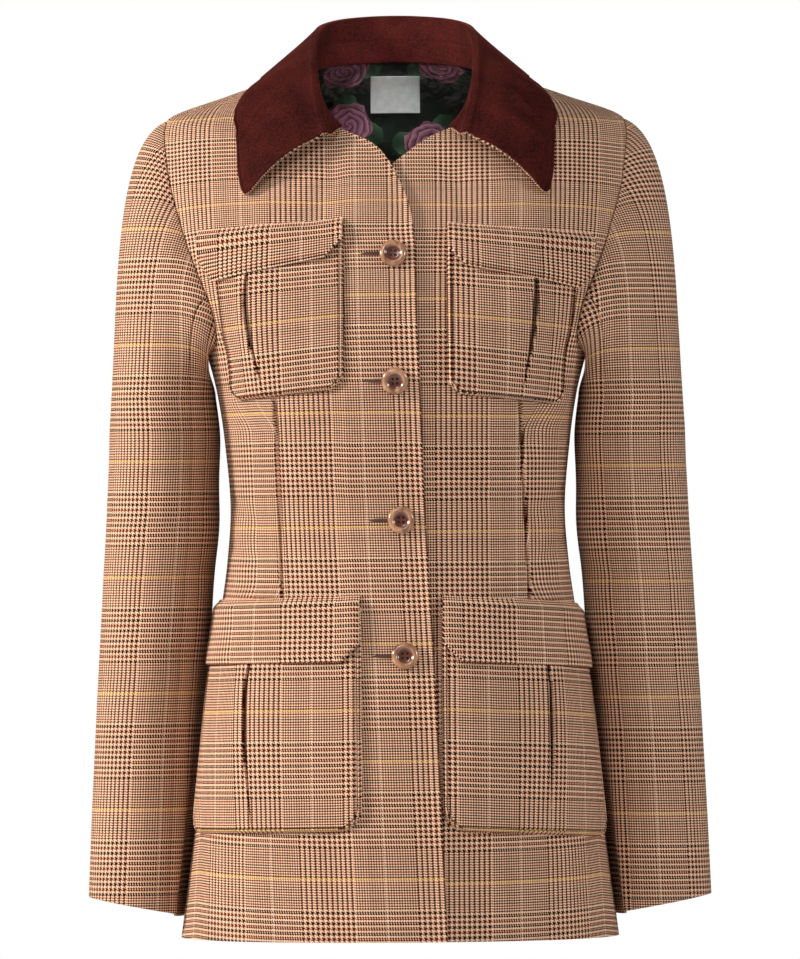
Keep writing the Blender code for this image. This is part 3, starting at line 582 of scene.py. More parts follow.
def bent_grid(name, points, weave, finish):
    """A flat grid with its points moved to points[row, column], and weave as its UV map."""
    rows, columns = points.shape[:2]
    shape = bmesh.new()
    bmesh.ops.create_grid(shape, x_segments=columns - 1, y_segments=rows - 1, size=1)
    mesh = mesh_of(shape, name)
    shares = (points_of(mesh) + 1) / 2
    column_of = np.rint(shares[:, 0] * (columns - 1)).astype(int)
    row_of = np.rint(shares[:, 1] * (rows - 1)).astype(int)
    mesh.vertices.foreach_set("co", points[row_of, column_of].astype(np.float32).ravel())
    set_cloth_map(mesh, weave[row_of, column_of])
    mesh.shade_smooth()
    mesh.update()
    mesh.materials.append(finish)
    return put(name, mesh)


def add_wall(piece, wall, even=False):
    thicken = piece.modifiers.new("wall", "SOLIDIFY")
    thicken.thickness = wall
    thicken.offset = 0
    thicken.use_even_offset = even
    edge = piece.modifiers.new("turned_edge", "BEVEL")
    edge.width = wall * 0.3
    edge.segments = 2
    edge.limit_method = "ANGLE"
    edge.angle_limit = math.radians(60)


cut = {}


def cloth(node, points, weave, wall, finish, even=False):
    """A cloth piece that dresses a solid of the frame."""
    piece = bent_grid(node + "_cloth", points, weave, finish)
    add_wall(piece, wall, even)
    along = points[:, 1:] - points[:, :-1]
    up = points[1:] - points[:-1]
    area = 0.5 * np.linalg.norm(np.cross(along[:-1] + along[1:], up[:, :-1] + up[:, 1:]), axis=2).sum() / 2
    width = max(LEAST_CUT, np.linalg.norm(along, axis=2).sum(axis=1).max())
    length = max(LEAST_CUT, np.linalg.norm(up, axis=2).sum(axis=0).max())
    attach(piece, "root")
    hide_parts(node)
    cut[node] = (width, length, area)


def tell(node):
    print(node, "width, length and area:", [round(float(v), 4) for v in cut[node]])


def weave_of(across, up):
    return np.stack(np.broadcast_arrays(across, up), axis=-1)


def to_side(points, side):
    """Points made for the left of the jacket, taken to its left or right."""
    return points * np.array([1 if side == "left" else -1, 1, 1])


# The face of the cloth is the same on both halves, so threads are counted towards the viewer's right
COUNT = {"left": 1, "right": -1}
print("wall of the tweed:", TWEED * 1000, "mm")

# %% [markdown]
# ## The two fronts
# Each front runs from the shoulder to the hem, with its neck edge, its armhole and one long dart. The right
# front laps over the left. A few soft creases keep it from looking pressed flat. They are part of the
# surface that the pockets are laid on too.

# %% Edges, armhole and creases of the fronts
Edge = namedtuple("Edge", "z over under")
FRONT_EDGE = [
    Edge(-0.7040, -0.0378, -0.0240),
    Edge(-0.5850, -0.0327, -0.0240),
    Edge(-0.5050, -0.0296, -0.0240),
    Edge(-0.4240, -0.0253, -0.0240),
    Edge(-0.3510, -0.0216, -0.0240),
    Edge(-0.2650, -0.0188, -0.0240),
    Edge(-0.1920, -0.0161, -0.0240),
    Edge(-0.1350, -0.0152, -0.0235),
    Edge(-0.1170, -0.0137, -0.0225),
    Edge(-0.1020, -0.0114, -0.0200),
    Edge(-0.0880, -0.0072, -0.0160),
    Edge(-0.0780, -0.0028, -0.0115),
    Edge(-0.0630, 0.0045, -0.0030),
    Edge(-0.0520, 0.0126, 0.0105),
    Edge(-0.0455, 0.0204, 0.0185),
    Edge(-0.0410, 0.0289, 0.0260),
    Edge(-0.0372, 0.0372, 0.0330),
    Edge(-0.0327, 0.0450, 0.0440),
    Edge(-0.0220, 0.0560, 0.0560),
    Edge(-0.0100, 0.0640, 0.0640),
    Edge(-0.0040, 0.0695, 0.0695),
    Edge(-0.0010, 0.0735, 0.0735),
]
Scoop = namedtuple("Scoop", "turn ahead behind")
ARMHOLE = [
    Scoop(0, 0, 0),
    Scoop(30, 12, 10),
    Scoop(60, 22, 19),
    Scoop(90, 28, 24),
    Scoop(120, 31, 26),
    Scoop(150, 25, 20),
    Scoop(180, 0, 0),
]
ARMHOLE_TOP_Z = -0.036
ARMHOLE_HALF_HEIGHT = 0.096
FRONT_TOP_Z = -0.001
DART_SHARE = {"right": 0.555, "left": 0.580}
# How far from the centre front the lapped front comes down to the form
LAP_ENDS = (0.035, 0.053)
SEAM_DIP = 0.0008
SEAM_DIP_REACH = 0.0045

# Soft creases, from a start to an end by distance from the centre line and height, minus for a hollow
Crease = namedtuple("Crease", "start_out start_z end_out end_z half_width depth")
FRONT_CREASES = {
    "right": [
        Crease(0.152, -0.226, 0.112, -0.292, 0.009, -0.0016),
        Crease(0.172, -0.346, 0.120, -0.368, 0.008, -0.0014),
        Crease(0.176, -0.384, 0.128, -0.396, 0.007, -0.0012),
        Crease(0.010, -0.266, 0.066, -0.288, 0.009, -0.0010),
        Crease(0.012, -0.356, 0.074, -0.340, 0.009, -0.0010),
        Crease(0.040, -0.704, 0.052, -0.636, 0.015, -0.0018),
        Crease(0.128, -0.704, 0.120, -0.640, 0.018, 0.0020),
        Crease(0.052, -0.072, 0.070, -0.116, 0.010, -0.0020),
        Crease(0.098, -0.080, 0.112, -0.122, 0.012, 0.0015),
        Crease(0.020, -0.100, 0.046, -0.118, 0.010, 0.0012),
    ],
    "left": [
        Crease(0.150, -0.224, 0.118, -0.300, 0.009, -0.0018),
        Crease(0.170, -0.340, 0.122, -0.356, 0.008, -0.0014),
        Crease(0.176, -0.378, 0.126, -0.398, 0.007, -0.0014),
        Crease(0.040, -0.330, 0.088, -0.352, 0.009, -0.0010),
        Crease(0.060, -0.704, 0.056, -0.640, 0.016, -0.0016),
        Crease(0.150, -0.704, 0.144, -0.640, 0.018, 0.0018),
        Crease(0.046, -0.070, 0.060, -0.112, 0.010, -0.0020),
        Crease(0.092, -0.084, 0.116, -0.120, 0.012, 0.0015),
    ],
}


def crease_relief(creases, out, z):
    total = np.zeros(np.broadcast(out, z).shape)
    for c in creases:
        run = c.end_out - c.start_out
        rise = c.end_z - c.start_z
        t = np.clip(((out - c.start_out) * run + (z - c.start_z) * rise) / (run * run + rise * rise), 0, 1)
        gap = np.hypot(out - c.start_out - t * run, z - c.start_z - t * rise)
        total = total + c.depth * np.exp(-((gap / c.half_width) ** 2))
    return total


def lap_lift(distance):
    """How far the lapped front stands out to pass over the front beneath it."""
    return (TWEED + LAYER_GAP) * (1 - ease(distance, *LAP_ENDS))


def on_front(side, distance, z, height=0.0):
    """A point over the middle of a front's wall, a distance from the centre front on its own side."""
    distance, z = np.broadcast_arrays(np.asarray(distance, float), np.asarray(z, float))
    turn = turn_at(z, distance)
    out = height + crease_relief(FRONT_CREASES[side], distance, z)
    if side == "right":
        out = out + lap_lift(distance)
    return to_side(torso(turn, z) + torso_normal(turn, z) * out[..., None], side)


def scoop_at(z, name):
    """How many radians the armhole reaches from the side at a height, and 0 above and below it."""
    level = np.clip((z - ARMHOLE_TOP_Z + ARMHOLE_HALF_HEIGHT) / ARMHOLE_HALF_HEIGHT, -1, 1)
    return np.radians(read(ARMHOLE, name, np.degrees(np.arccos(level))))


def outer_distance(z, back):
    scoop = scoop_at(z, "behind" if back else "ahead")
    return distance_at(z, math.pi / 2 - scoop, back) - SEAM / 2


def panel_heights(top):
    """Rows of a torso panel: even below the underarm, by turns round the armhole, close on the shoulder."""
    middle = ARMHOLE_TOP_Z - ARMHOLE_HALF_HEIGHT
    low = np.linspace(HEM_Z, middle - ARMHOLE_HALF_HEIGHT, 118)[:-1]
    round_armhole = middle + ARMHOLE_HALF_HEIGHT * np.cos(np.radians(np.linspace(180, 0, 65)))
    shoulder = np.linspace(ARMHOLE_TOP_Z, top, 29)[1:]
    return np.concatenate([low, round_armhole, shoulder])


def seam_dip(gap):
    """A seam draws the cloth in a little on both sides."""
    return -SEAM_DIP * (1 - ease(gap, 0, SEAM_DIP_REACH))


print("creases:", {side: len(rows) for side, rows in FRONT_CREASES.items()})

# %% The front panels
DART_TOP_Z = -0.262
DART_BOTTOM_Z = -0.440
DART_DEPTH = 0.0034
# How far from the centre each dart lies at its bottom and at its top
DART_X = {"right": (0.0934, 0.0988), "left": (0.1075, 0.0988)}
DART_INTAKE = 0.018
# Columns on each side of the dart, and the half width of its slot at the floor and at the edge, all as
# shares of the panel's width
DART_COLUMNS = np.array([0.001, 0.009, 0.0105, 0.012, 0.015])
DART_MARGIN = 0.016
SLOT_FLOOR = 0.0088
SLOT_EDGE = 0.0112
# Heights over which the columns come to lean along the dart, and stand evenly again
LEAN_RISE = (-0.60, -0.46)
LEAN_FALL = (-0.25, -0.17)
# The lapped edge curls away from the front beneath it and shades it
EDGE_CURL = 0.0018
EDGE_CURL_REACH = 0.008
EDGE_STRAIGHT_Z = -0.122
# Where the check's pale and gold lines run: pale by distance from the front edge, gold by grain
PALE_FROM_EDGE = {"right": 0.0470, "left": 0.1250}
GOLD_GRAIN = {"right": -0.3685, "left": -0.3720}
# Above this height the cloth is eased, so more of it lies on each length of the form
EASED_ABOVE_Z = -0.180
EASING = 0.20


def front_panel(side):
    edge = "over" if side == "right" else "under"
    even = np.linspace(0, 1, 58)
    dart = DART_SHARE[side]
    even = even[np.abs(even - dart) > DART_MARGIN]
    shares = np.sort(np.concatenate([even, dart - DART_COLUMNS, dart + DART_COLUMNS]))
    z = panel_heights(FRONT_TOP_Z)[:, None]
    inner = distance_at(z, turn_of_width(z, read(FRONT_EDGE, edge, z)))
    outer = outer_distance(z, back=False)
    # The columns lean so that the dart runs straight
    dart_x = np.interp(z, (DART_BOTTOM_Z, DART_TOP_Z), DART_X[side])
    dart_at = (distance_at(z, turn_of_width(z, dart_x)) - inner) / (outer - inner)
    dart_at = dart + (dart_at - dart) * within(z, LEAN_RISE, LEAN_FALL)
    before = shares * dart_at / dart
    after = 1 - (1 - shares) * (1 - dart_at) / (1 - dart)
    distance = inner + np.where(shares < dart, before, after) * (outer - inner)
    z = np.broadcast_to(z, distance.shape)
    sewn = within(z, (DART_BOTTOM_Z - 0.020, DART_BOTTOM_Z), (DART_TOP_Z - 0.008, DART_TOP_Z))
    slot = ease(-np.abs(shares - dart), -SLOT_EDGE, -SLOT_FLOOR)
    height = seam_dip(outer - distance) - DART_DEPTH * slot * sewn
    if side == "right":
        height = height + EDGE_CURL * (1 - ease(distance - inner, 0, EDGE_CURL_REACH))
    points = on_front(side, distance, z, height)
    # The cloth that the dart takes in grows from nothing at both of its points
    tapered = within(z, (DART_BOTTOM_Z - 0.012, DART_BOTTOM_Z + 0.03), (DART_TOP_Z - 0.03, DART_TOP_Z))
    taken = DART_INTAKE * tapered * (shares > dart)
    edge_line = read(FRONT_EDGE, edge, np.minimum(z, EDGE_STRAIGHT_Z))
    across = COUNT[side] * (distance + taken - edge_line - PALE_FROM_EDGE[side])
    up = grain_at(z, distance) + EASING * np.maximum(0, z - EASED_ABOVE_Z) - GOLD_GRAIN[side]
    cloth(f"front_{side}", points, weave_of(across, up), TWEED, tweed)


for side in ("right", "left"):
    front_panel(side)
    tell(f"front_{side}")

# %% [markdown]
# ## The back
# The photograph doesn't show the back, so it is one plain panel, shaped by the same form and joined to the
# fronts at the side and shoulder seams.

# %% The back panel
BACK_CREASES = [
    Crease(0.110, -0.345, 0.030, -0.362, 0.009, -0.0014),
    Crease(-0.108, -0.340, -0.036, -0.356, 0.009, -0.0014),
    Crease(0.120, -0.385, 0.060, -0.398, 0.008, -0.0012),
    Crease(-0.122, -0.380, -0.054, -0.400, 0.008, -0.0012),
    Crease(0.050, -0.704, 0.044, -0.610, 0.020, -0.0022),
    Crease(-0.064, -0.704, -0.050, -0.620, 0.020, -0.0022),
]


def on_back(distance, z, height=0.0):
    distance, z = np.broadcast_arrays(np.asarray(distance, float), np.asarray(z, float))
    turn = math.pi + turn_at(z, distance, back=True)
    out = height + crease_relief(BACK_CREASES, distance, z)
    return torso(turn, z) + torso_normal(turn, z) * np.asarray(out)[..., None]


z = panel_heights(NECK_RING_Z)[:, None]
outer = outer_distance(z, back=True)
distance = outer * np.linspace(-1, 1, 111)
z = np.broadcast_to(z, distance.shape)
points = on_back(distance, z, seam_dip(outer - np.abs(distance)))
weave = weave_of(distance, grain_at(z, distance, back=True) - GOLD_GRAIN["right"])
cloth("back", points, weave, TWEED, tweed)
tell("back")

# %% [markdown]
# ## Two-piece sleeves
# A tailored sleeve has a wide top piece and a narrow under piece, with one seam towards the front of the arm
# and one towards the back. It hangs as a slightly bent tube and its cap rises to the armhole. Rings describe
# the tube, and a curve from the top ring to the armhole seam describes the cap.

# %% Rings and folds of the sleeves
Ring = namedtuple("Ring", "z x y half_width half_depth rise")
SLEEVE = [
    Ring(-0.262, 0.1905, 0.006, 0.0430, 0.063, 0.000),
    Ring(-0.298, 0.1900, 0.010, 0.0455, 0.063, 0.000),
    Ring(-0.355, 0.1920, 0.015, 0.0460, 0.062, 0.001),
    Ring(-0.429, 0.1975, 0.020, 0.0450, 0.059, 0.002),
    Ring(-0.510, 0.2030, 0.022, 0.0440, 0.055, 0.003),
    Ring(-0.590, 0.2075, 0.018, 0.0435, 0.050, 0.005),
    Ring(-0.679, 0.2112, 0.012, 0.0435, 0.047, 0.008),
]
CUFF_Z = -0.679
BICEP_Z = -0.262
FRONT_SEAM_TURN = math.radians(120)
BACK_SEAM_TURN = math.radians(240)
Fold = namedtuple("Fold", "z turn half_height half_turn depth slant")
SLEEVE_FOLDS = [
    Fold(-0.330, 150, 0.030, 70, 0.0026, 0.10),
    Fold(-0.390, 110, 0.026, 60, 0.0022, -0.14),
    Fold(-0.445, 70, 0.030, 60, 0.0018, 0.16),
    Fold(-0.420, 250, 0.030, 60, 0.0024, -0.12),
    Fold(-0.530, 130, 0.036, 70, 0.0016, 0.12),
    Fold(-0.362, 120, 0.010, 40, 0.0014, 0.30),
    Fold(-0.408, 128, 0.009, 36, 0.0012, 0.24),
    Fold(-0.470, 118, 0.012, 40, 0.0012, -0.20),
]
SLEEVE_CLEAR = 0.0036
SLEEVE_CLEAR_OF_POCKET = 0.0060
# Where the lower pocket ends, towards the back and upwards, and how softly the sleeve is pushed out
POCKET_ENDS_Y = (-0.010, 0.020)
POCKET_ENDS_Z = (-0.425, -0.395)
PUSH_SOFTNESS = 0.003
# The pale line runs beside the front seam, and the gold line crosses the sleeve at these heights
PALE_FROM_SEAM = {"right": 0.010, "left": 0.025}
SLEEVE_GOLD = {"right": -0.3140, "left": -0.3195}


def beside_torso(x, y, z):
    """x, pushed out where the sleeve would hang into the torso or into a lower pocket."""
    depth = np.where(y < 0, read(TORSO, "front", z), read(TORSO, "back", z))
    square = read(TORSO, "square", z)
    round_off = (1 - np.minimum(1, np.abs(y) / depth) ** square) ** (1 / square)
    half_width = read(TORSO, "half_width", z) * round_off
    pocket = (1 - ease(y, *POCKET_ENDS_Y)) * (1 - ease(z, *POCKET_ENDS_Z))
    limit = half_width + SLEEVE_CLEAR + SLEEVE_CLEAR_OF_POCKET * pocket
    room = x - limit
    return limit + (room + np.hypot(room, PUSH_SOFTNESS)) / 2


def sleeve_ring(turn, z, height):
    """A point of the hanging sleeve, by the turn from its outer side (0) through its front (pi / 2)."""
    depths = -column(SLEEVE, "z")
    ring = [smooth(depths, column(SLEEVE, name), -z) for name in Ring._fields[1:]]
    x, y, half_width, half_depth, rise = ring
    inward = -height
    for fold in SLEEVE_FOLDS:
        away = np.degrees(turn) - fold.turn
        level = z - fold.z - fold.slant * np.radians(away) * half_depth
        near = (level / fold.half_height) ** 2 + (away / fold.half_turn) ** 2
        inward = inward + fold.depth * np.exp(-near)
    across = x + (half_width - inward) * np.cos(turn)
    deep = y - (half_depth - inward) * np.sin(turn)
    return np.stack([beside_torso(across, deep, z), deep, z + rise * np.cos(turn)], axis=-1)


def armhole_point(turn):
    """A point of the armhole seam, by the turn from the shoulder (0) through the front (pi / 2)."""
    behind = turn > math.pi
    down = np.where(behind, 2 * math.pi - turn, turn)
    z = ARMHOLE_TOP_Z - ARMHOLE_HALF_HEIGHT * (1 - np.cos(down))
    degrees = np.degrees(down)
    ahead = np.radians(read(ARMHOLE, "ahead", degrees))
    back = np.radians(read(ARMHOLE, "behind", degrees))
    return torso(math.pi / 2 + np.where(behind, back, -ahead), z)


def sleeve_cap(turn, share, height):
    """A point from the bicep ring (0) to the armhole (1): it rises with the sleeve, then turns in."""
    turn, share = np.broadcast_arrays(turn, share)
    low = sleeve_ring(turn, np.full(turn.shape, BICEP_Z), height)
    high = armhole_point(turn)
    top = (1 + np.cos(turn)) / 2
    none = np.zeros(turn.shape)
    # The directions in which a line leaves the ring and enters the armhole, steeper towards the shoulder
    rise = np.stack([-0.018 * top, none, 0.04 + 0.24 * top * top], axis=-1)
    into = [-(0.03 + 0.095 * top), 0.030 * np.sin(turn) * (1.2 - top), 0.012 + 0.036 * top]
    into = np.stack(into, axis=-1)
    high = high - unit(into) * (SEAM * (1.6 - 0.6 * top))[..., None]
    t = share[..., None]
    return (low * (1 - t) ** 2 * (1 + 2 * t) + high * t * t * (3 - 2 * t)
            + rise * t * (1 - t) ** 2 + into * t * t * (t - 1))


def level_round(points, up, start):
    """How far round each point is from the start column, measured along lines of equal grain."""
    levels = np.linspace(up.min(), up.max(), 160)
    lines = np.empty((len(levels), points.shape[1], 3))
    for k in range(points.shape[1]):
        for axis in range(3):
            lines[:, k, axis] = np.interp(levels, up[:, k], points[:, k, axis])
    far = lengths_from_start(lines, 1)
    far -= far[:, [start]]
    out = np.empty(up.shape)
    for k in range(points.shape[1]):
        out[:, k] = np.interp(up[:, k], levels, far[:, k])
    return out, levels, far


print("sleeve folds:", len(SLEEVE_FOLDS))

# %% The sleeve pieces
SLEEVE_HALF_WIDTH = 0.040
SLEEVE_RADIUS = 0.055


def sleeve_grid(start, end, columns):
    half_seam = SEAM / 2 / SLEEVE_HALF_WIDTH
    turns = np.linspace(start + half_seam, end - half_seam, columns)
    whole = (turns % (2 * math.pi))[None, :]
    gap = np.minimum(turns - turns[0], turns[-1] - turns)[None, :] * SLEEVE_RADIUS
    dip = seam_dip(gap)
    low = sleeve_ring(whole, np.linspace(CUFF_Z, BICEP_Z, 112)[:, None], dip)
    cap = sleeve_cap(whole, np.linspace(0, 1, 57)[1:, None], dip)
    points = np.concatenate([low, cap])
    up = lengths_from_start(points, 0)
    up += BICEP_Z - up[[len(low) - 1]]
    return points, up


def sleeve_piece(name, side, points, up, across):
    weave = weave_of(-COUNT[side] * (across + PALE_FROM_SEAM[side]), up - SLEEVE_GOLD[side])
    cloth(f"{name}_{side}", to_side(points, side), weave, TWEED, tweed)


for side in ("right", "left"):
    points, up = sleeve_grid(BACK_SEAM_TURN - 2 * math.pi, FRONT_SEAM_TURN, 97)
    out, levels, far = level_round(points, up, 48)
    to_seam = np.interp(np.minimum(up, BICEP_Z), levels, far[:, -1])
    sleeve_piece("sleeve_top", side, points, up, out - to_seam)
    points, up = sleeve_grid(FRONT_SEAM_TURN, BACK_SEAM_TURN, 49)
    out = level_round(points, up, 0)[0]
    sleeve_piece("sleeve_under", side, points, up, out)
    tell(f"sleeve_top_{side}")

# %% [markdown]
# ## The velvet collar
# The collar stands up from the neck seam, rolls over and falls to its outer edge, which lies on the chest
# and shoulders. A seam inside the stand joins the upper collar to its band, and a tweed under collar backs
# it and peeps out by a millimetre. One smooth line across the collar is drawn at many places from the front
# end to the centre back and mirrored, which gives an even roll without any modelling by hand.

# %% The line across the collar
Roll = namedtuple("Roll", "along x y z")
COLLAR_ROLL = [
    Roll(0.00, 0.0565, -0.0860, -0.0500),
    Roll(0.20, 0.0645, -0.0565, -0.0130),
    Roll(0.40, 0.0662, -0.0120, 0.0200),
    Roll(0.60, 0.0608, 0.0300, 0.0390),
    Roll(0.80, 0.0370, 0.0650, 0.0475),
    Roll(1.00, 0.0000, 0.0760, 0.0500),
]
Rim = namedtuple("Rim", "along turn z bulge")
COLLAR_RIM = [
    Rim(0.00, 36.0, -0.0940, 0.0060),
    Rim(0.12, 38.4, -0.0715, 0.0050),
    Rim(0.220, 40.3, -0.0505, 0.0040),
    Rim(0.260, 41.2, -0.0440, 0.0035),
    Rim(0.295, 42.3, -0.0378, 0.0030),
    Rim(0.345, 48.4, -0.0288, 0.0022),
    Rim(0.378, 56.2, -0.0226, 0.0014),
    Rim(0.410, 64.8, -0.0167, 0.0008),
    Rim(0.445, 73.0, -0.0125, 0.0000),
    Rim(0.500, 92.0, -0.0074, 0.0000),
    Rim(0.60, 124.0, -0.0125, 0.0000),
    Rim(0.80, 154.0, -0.0220, 0.0010),
    Rim(1.00, 180.0, -0.0220, 0.0020),
]
COLLAR_CLOTH = 0.0012
COLLAR_END_Z = -0.0315
FOOT_GAP = 0.0034
FOOT_LIFT = 0.0028
ROLL_RADIUS = 0.0030
COLLAR_CLEAR = 0.0064
COLLAR_SEAM_SHARE = 0.45
TIP_RADIUS = 0.0070
# The share of the neck seam that runs along the front, and where the lift of its foot begins to fade
FRONT_SHARE = 0.44
LIFT_FADES = 0.25


def read_round(table, name, at):
    """A collar table read past the centre back too, where it carries on as its own mirror image."""
    along = column(table, "along")
    values = column(table, name)
    other = {"x": -values, "turn": 360 - values}.get(name, values)
    return float(smooth(np.append(along, 2 - along[-2::-1]), np.append(values, other[-2::-1]), at))


def neckline(along):
    """The collar's seam, from its front end (0) along the neck edge and round to the centre back (1)."""
    if along < FRONT_SHARE:
        z = COLLAR_END_Z + (FRONT_TOP_Z - COLLAR_END_Z) * (along / FRONT_SHARE)
        turn = turn_of_width(z, read(FRONT_EDGE, "over", z) - FOOT_GAP)
        lift = FOOT_LIFT * (1 - ease(along, LIFT_FADES, FRONT_SHARE))
        return torso(turn, z) + torso_normal(turn, z) * lift
    turn = math.pi / 2 * (1 + (along - FRONT_SHARE) / (1 - FRONT_SHARE))
    return torso(turn, NECK_RING_Z + FOOT_GAP)


def collar_line(along):
    """Points across the collar at one place: up the stand, over the roll and down to the outer edge."""
    foot = neckline(along)
    roll = np.array([read_round(COLLAR_ROLL, name, along) for name in ("x", "y", "z")])
    turn = math.radians(read_round(COLLAR_RIM, "turn", along))
    z = read_round(COLLAR_RIM, "z", along)
    out = torso_normal(turn, z)
    rim = torso(turn, z) + out * COLLAR_CLEAR
    outward = unit((rim - roll) * np.array([1, 1, 0]))
    above = np.array([0, 0, ROLL_RADIUS])
    inside = roll - outward * ROLL_RADIUS * 0.6
    stand = [foot + (inside - foot) * share for share in (0, COLLAR_SEAM_SHARE, 0.8)]
    top = roll + outward * ROLL_RADIUS * 0.8 + above
    crown = inside + above * 0.8
    shoulder = top + outward * ROLL_RADIUS * 0.8 - above * 0.7
    bulge = (out + np.array([0, 0, 0.6])) * read_round(COLLAR_RIM, "bulge", along)
    fall = [shoulder + (rim - shoulder) * s + bulge * 4 * s * (1 - s) for s in (0.33, 0.67, 1.0)]
    return np.array([*stand, crown, top, shoulder, *fall])


PER_SPAN = 5
NEAR_RIM = (0.06, 0.10, 0.14)
places = np.concatenate([[0, 0.004, 0.010, 0.018, 0.028], np.linspace(0.04, 1, 58)])
coarse = np.array([collar_line(along) for along in places])
rim_far = np.concatenate([[0], np.cumsum(np.linalg.norm(np.diff(coarse[:, -1], axis=0), axis=1))])
half = []
for line, far in zip(coarse, rim_far):
    knots = np.concatenate([[0], np.cumsum(np.linalg.norm(np.diff(line, axis=0), axis=1))])
    spans = np.arange(PER_SPAN * (len(knots) - 1) + 1) / PER_SPAN
    spans = np.sort(np.append(spans, len(knots) - 1 - np.array(NEAR_RIM)))
    at = np.interp(spans, np.arange(len(knots)), knots)
    # The point of the collar is rounded, so the lines nearest the front end stop short of it
    short = max(0.0, TIP_RADIUS - far)
    cut_back = TIP_RADIUS - math.sqrt(TIP_RADIUS ** 2 - short ** 2)
    falling = at > knots[5]
    at[falling] = knots[5] + (at[falling] - knots[5]) * (1 - cut_back / (knots[-1] - knots[5]))
    half.append(np.stack([smooth(knots, line[:, axis], at) for axis in range(3)], axis=-1))
half = np.array(half)
collar_points = np.concatenate([half, half[-2::-1] * np.array([-1, 1, 1])]).transpose(1, 0, 2)
print("collar grid:", collar_points.shape[:2])

# %% The collar pieces
# At the back the foot of the stand hangs over the edge of the lining
TUCK_IN = 0.0040
TUCK_DOWN = 0.0045
TUCK_STARTS = (0.36, 0.50)
STAND_GROOVE = 0.0005
STITCH_GROOVE = 0.0009
Ridge = namedtuple("Ridge", "along slant height")
COLLAR_RIDGES = [
    Ridge(0.17, 0.06, 0.0028),
    Ridge(0.27, -0.05, 0.0022),
    Ridge(0.37, 0.03, 0.0026),
]
RIDGE_WIDTH = 0.022
# How far the under collar shows past the velvet
UNDER_PAST_RIM = 0.0010
UNDER_PAST_END = 0.0008


def grid_normals(points):
    return unit(np.cross(np.gradient(points, axis=1), np.gradient(points, axis=0)))


def plain_weave(points):
    """Threads counted along the rows from the middle column, and up the columns."""
    far = lengths_from_start(points, 1)
    return weave_of(far - far[:, [points.shape[1] // 2]], lengths_from_start(points, 0))


seam_row = PER_SPAN
stand = collar_points[:seam_row + 1].copy()
stand[-1] -= SEAM / 2 * unit(stand[-1] - stand[-2])
from_front = np.concatenate([places, places[-2::-1]])
tuck = ease(from_front, *TUCK_STARTS)[:, None]
inward = unit(-stand[0] * np.array([1, 1, 0]))
for row, share in ((0, 1.0), (1, 0.55), (2, 0.2)):
    stand[row] += tuck * share * (inward * TUCK_IN - np.array([0, 0, TUCK_DOWN]))
normals = grid_normals(collar_points)
if normals[-4, collar_points.shape[1] // 2] @ np.array([0, 1, 1]) < 0:
    normals = -normals
# The stand seam and a row of edge stitching show as shallow grooves, and soft ridges cross the fall
upper = collar_points[seam_row:].copy()
upper[0] -= normals[seam_row] * STAND_GROOVE
upper[-3] -= normals[-3] * STITCH_GROOVE
first = PER_SPAN * 4
across = np.clip((np.arange(len(upper)) - first) / (len(upper) - 1 - first), 0, 1)[:, None]
for ridge in COLLAR_RIDGES:
    gap = from_front[None, :] - ridge.along - ridge.slant * (across - 0.5)
    height = ridge.height * np.exp(-((gap / RIDGE_WIDTH) ** 2)) * np.sin(math.pi * across)
    upper += normals[seam_row:] * height[:, :, None]
under = (collar_points - normals * (COLLAR_CLOTH + LAYER_GAP))[PER_SPAN // 2:]
under[-1] += unit(under[-1] - under[-2]) * UNDER_PAST_RIM
for end, beside in ((0, 1), (-1, -2)):
    under[:, end] += unit(under[:, end] - under[:, beside]) * UNDER_PAST_END
on_torso = ["front_right_cloth", "front_left_cloth", "back_cloth"]
for name, points, finish, slot, rests_on in (
    ("collar_stand", stand, velvet, "velvet", ["back_cloth"]),
    ("collar_upper", upper, velvet, "velvet", on_torso),
    ("collar_under", under, tweed, "tweed", ["collar_upper_cloth"]),
):
    cloth(name, points, plain_weave(points), COLLAR_CLOTH, finish)
    tell(name)

# %% [markdown]
# ## Bellows pockets with flaps
# Each pocket is a patch with an inverted box pleat down its middle, a narrow bellows strip round its sides
# and bottom, and a flap sewn above it with clipped corners. The patch is one cloth: its face folds back at
# the slit, passes behind and comes forward again, so it is drawn row by row through all its layers. A row of
# edge stitching pinches the face about two millimetres inside its edge. Every point is a distance and a
# height on the front, moved out by the height of its layer, so the pocket follows each bend beneath it.

# %% Sizes of the pockets
# Each pocket: its inner and outer edge from the centre front, its bottom and top, where its pleat lies at
# the bottom and at the top as a share of its width, its corner and how far its outer side droops. Then its
# flap: the drop at the inner end, how much deeper it grows outwards, and how far it reaches past the patch
Pocket = namedtuple("Pocket", "inner outer bottom top pleat_low pleat_high corner droop "
                    "flap_drop flap_spread flap_past")
POCKETS = {
    ("chest", "right"): Pocket(0.0460, 0.149, -0.253, -0.120, 0.625, 0.690, 0.012, 0.09, 0.033, 0.11, 0.018),
    ("chest", "left"): Pocket(0.0445, 0.149, -0.257, -0.124, 0.555, 0.660, 0.012, 0.09, 0.037, 0.10, 0.018),
    ("lower", "right"): Pocket(0.0335, 0.2125, -0.611, -0.434, 0.505, 0.505, 0.016, 0.02, 0.053, 0, 0.003),
    ("lower", "left"): Pocket(0.0385, 0.2125, -0.611, -0.434, 0.510, 0.510, 0.016, 0.05, 0.053, 0, 0.003),
}
POCKET_CLOTH = 0.0010
FLAP_CLOTH = 0.0016
PLEAT_DEPTH = 0.0110
PLEAT_MOUTH = 0.0014
PLEAT_GAPE = 0.0046
PLEAT_STAND_OFF = 0.0042
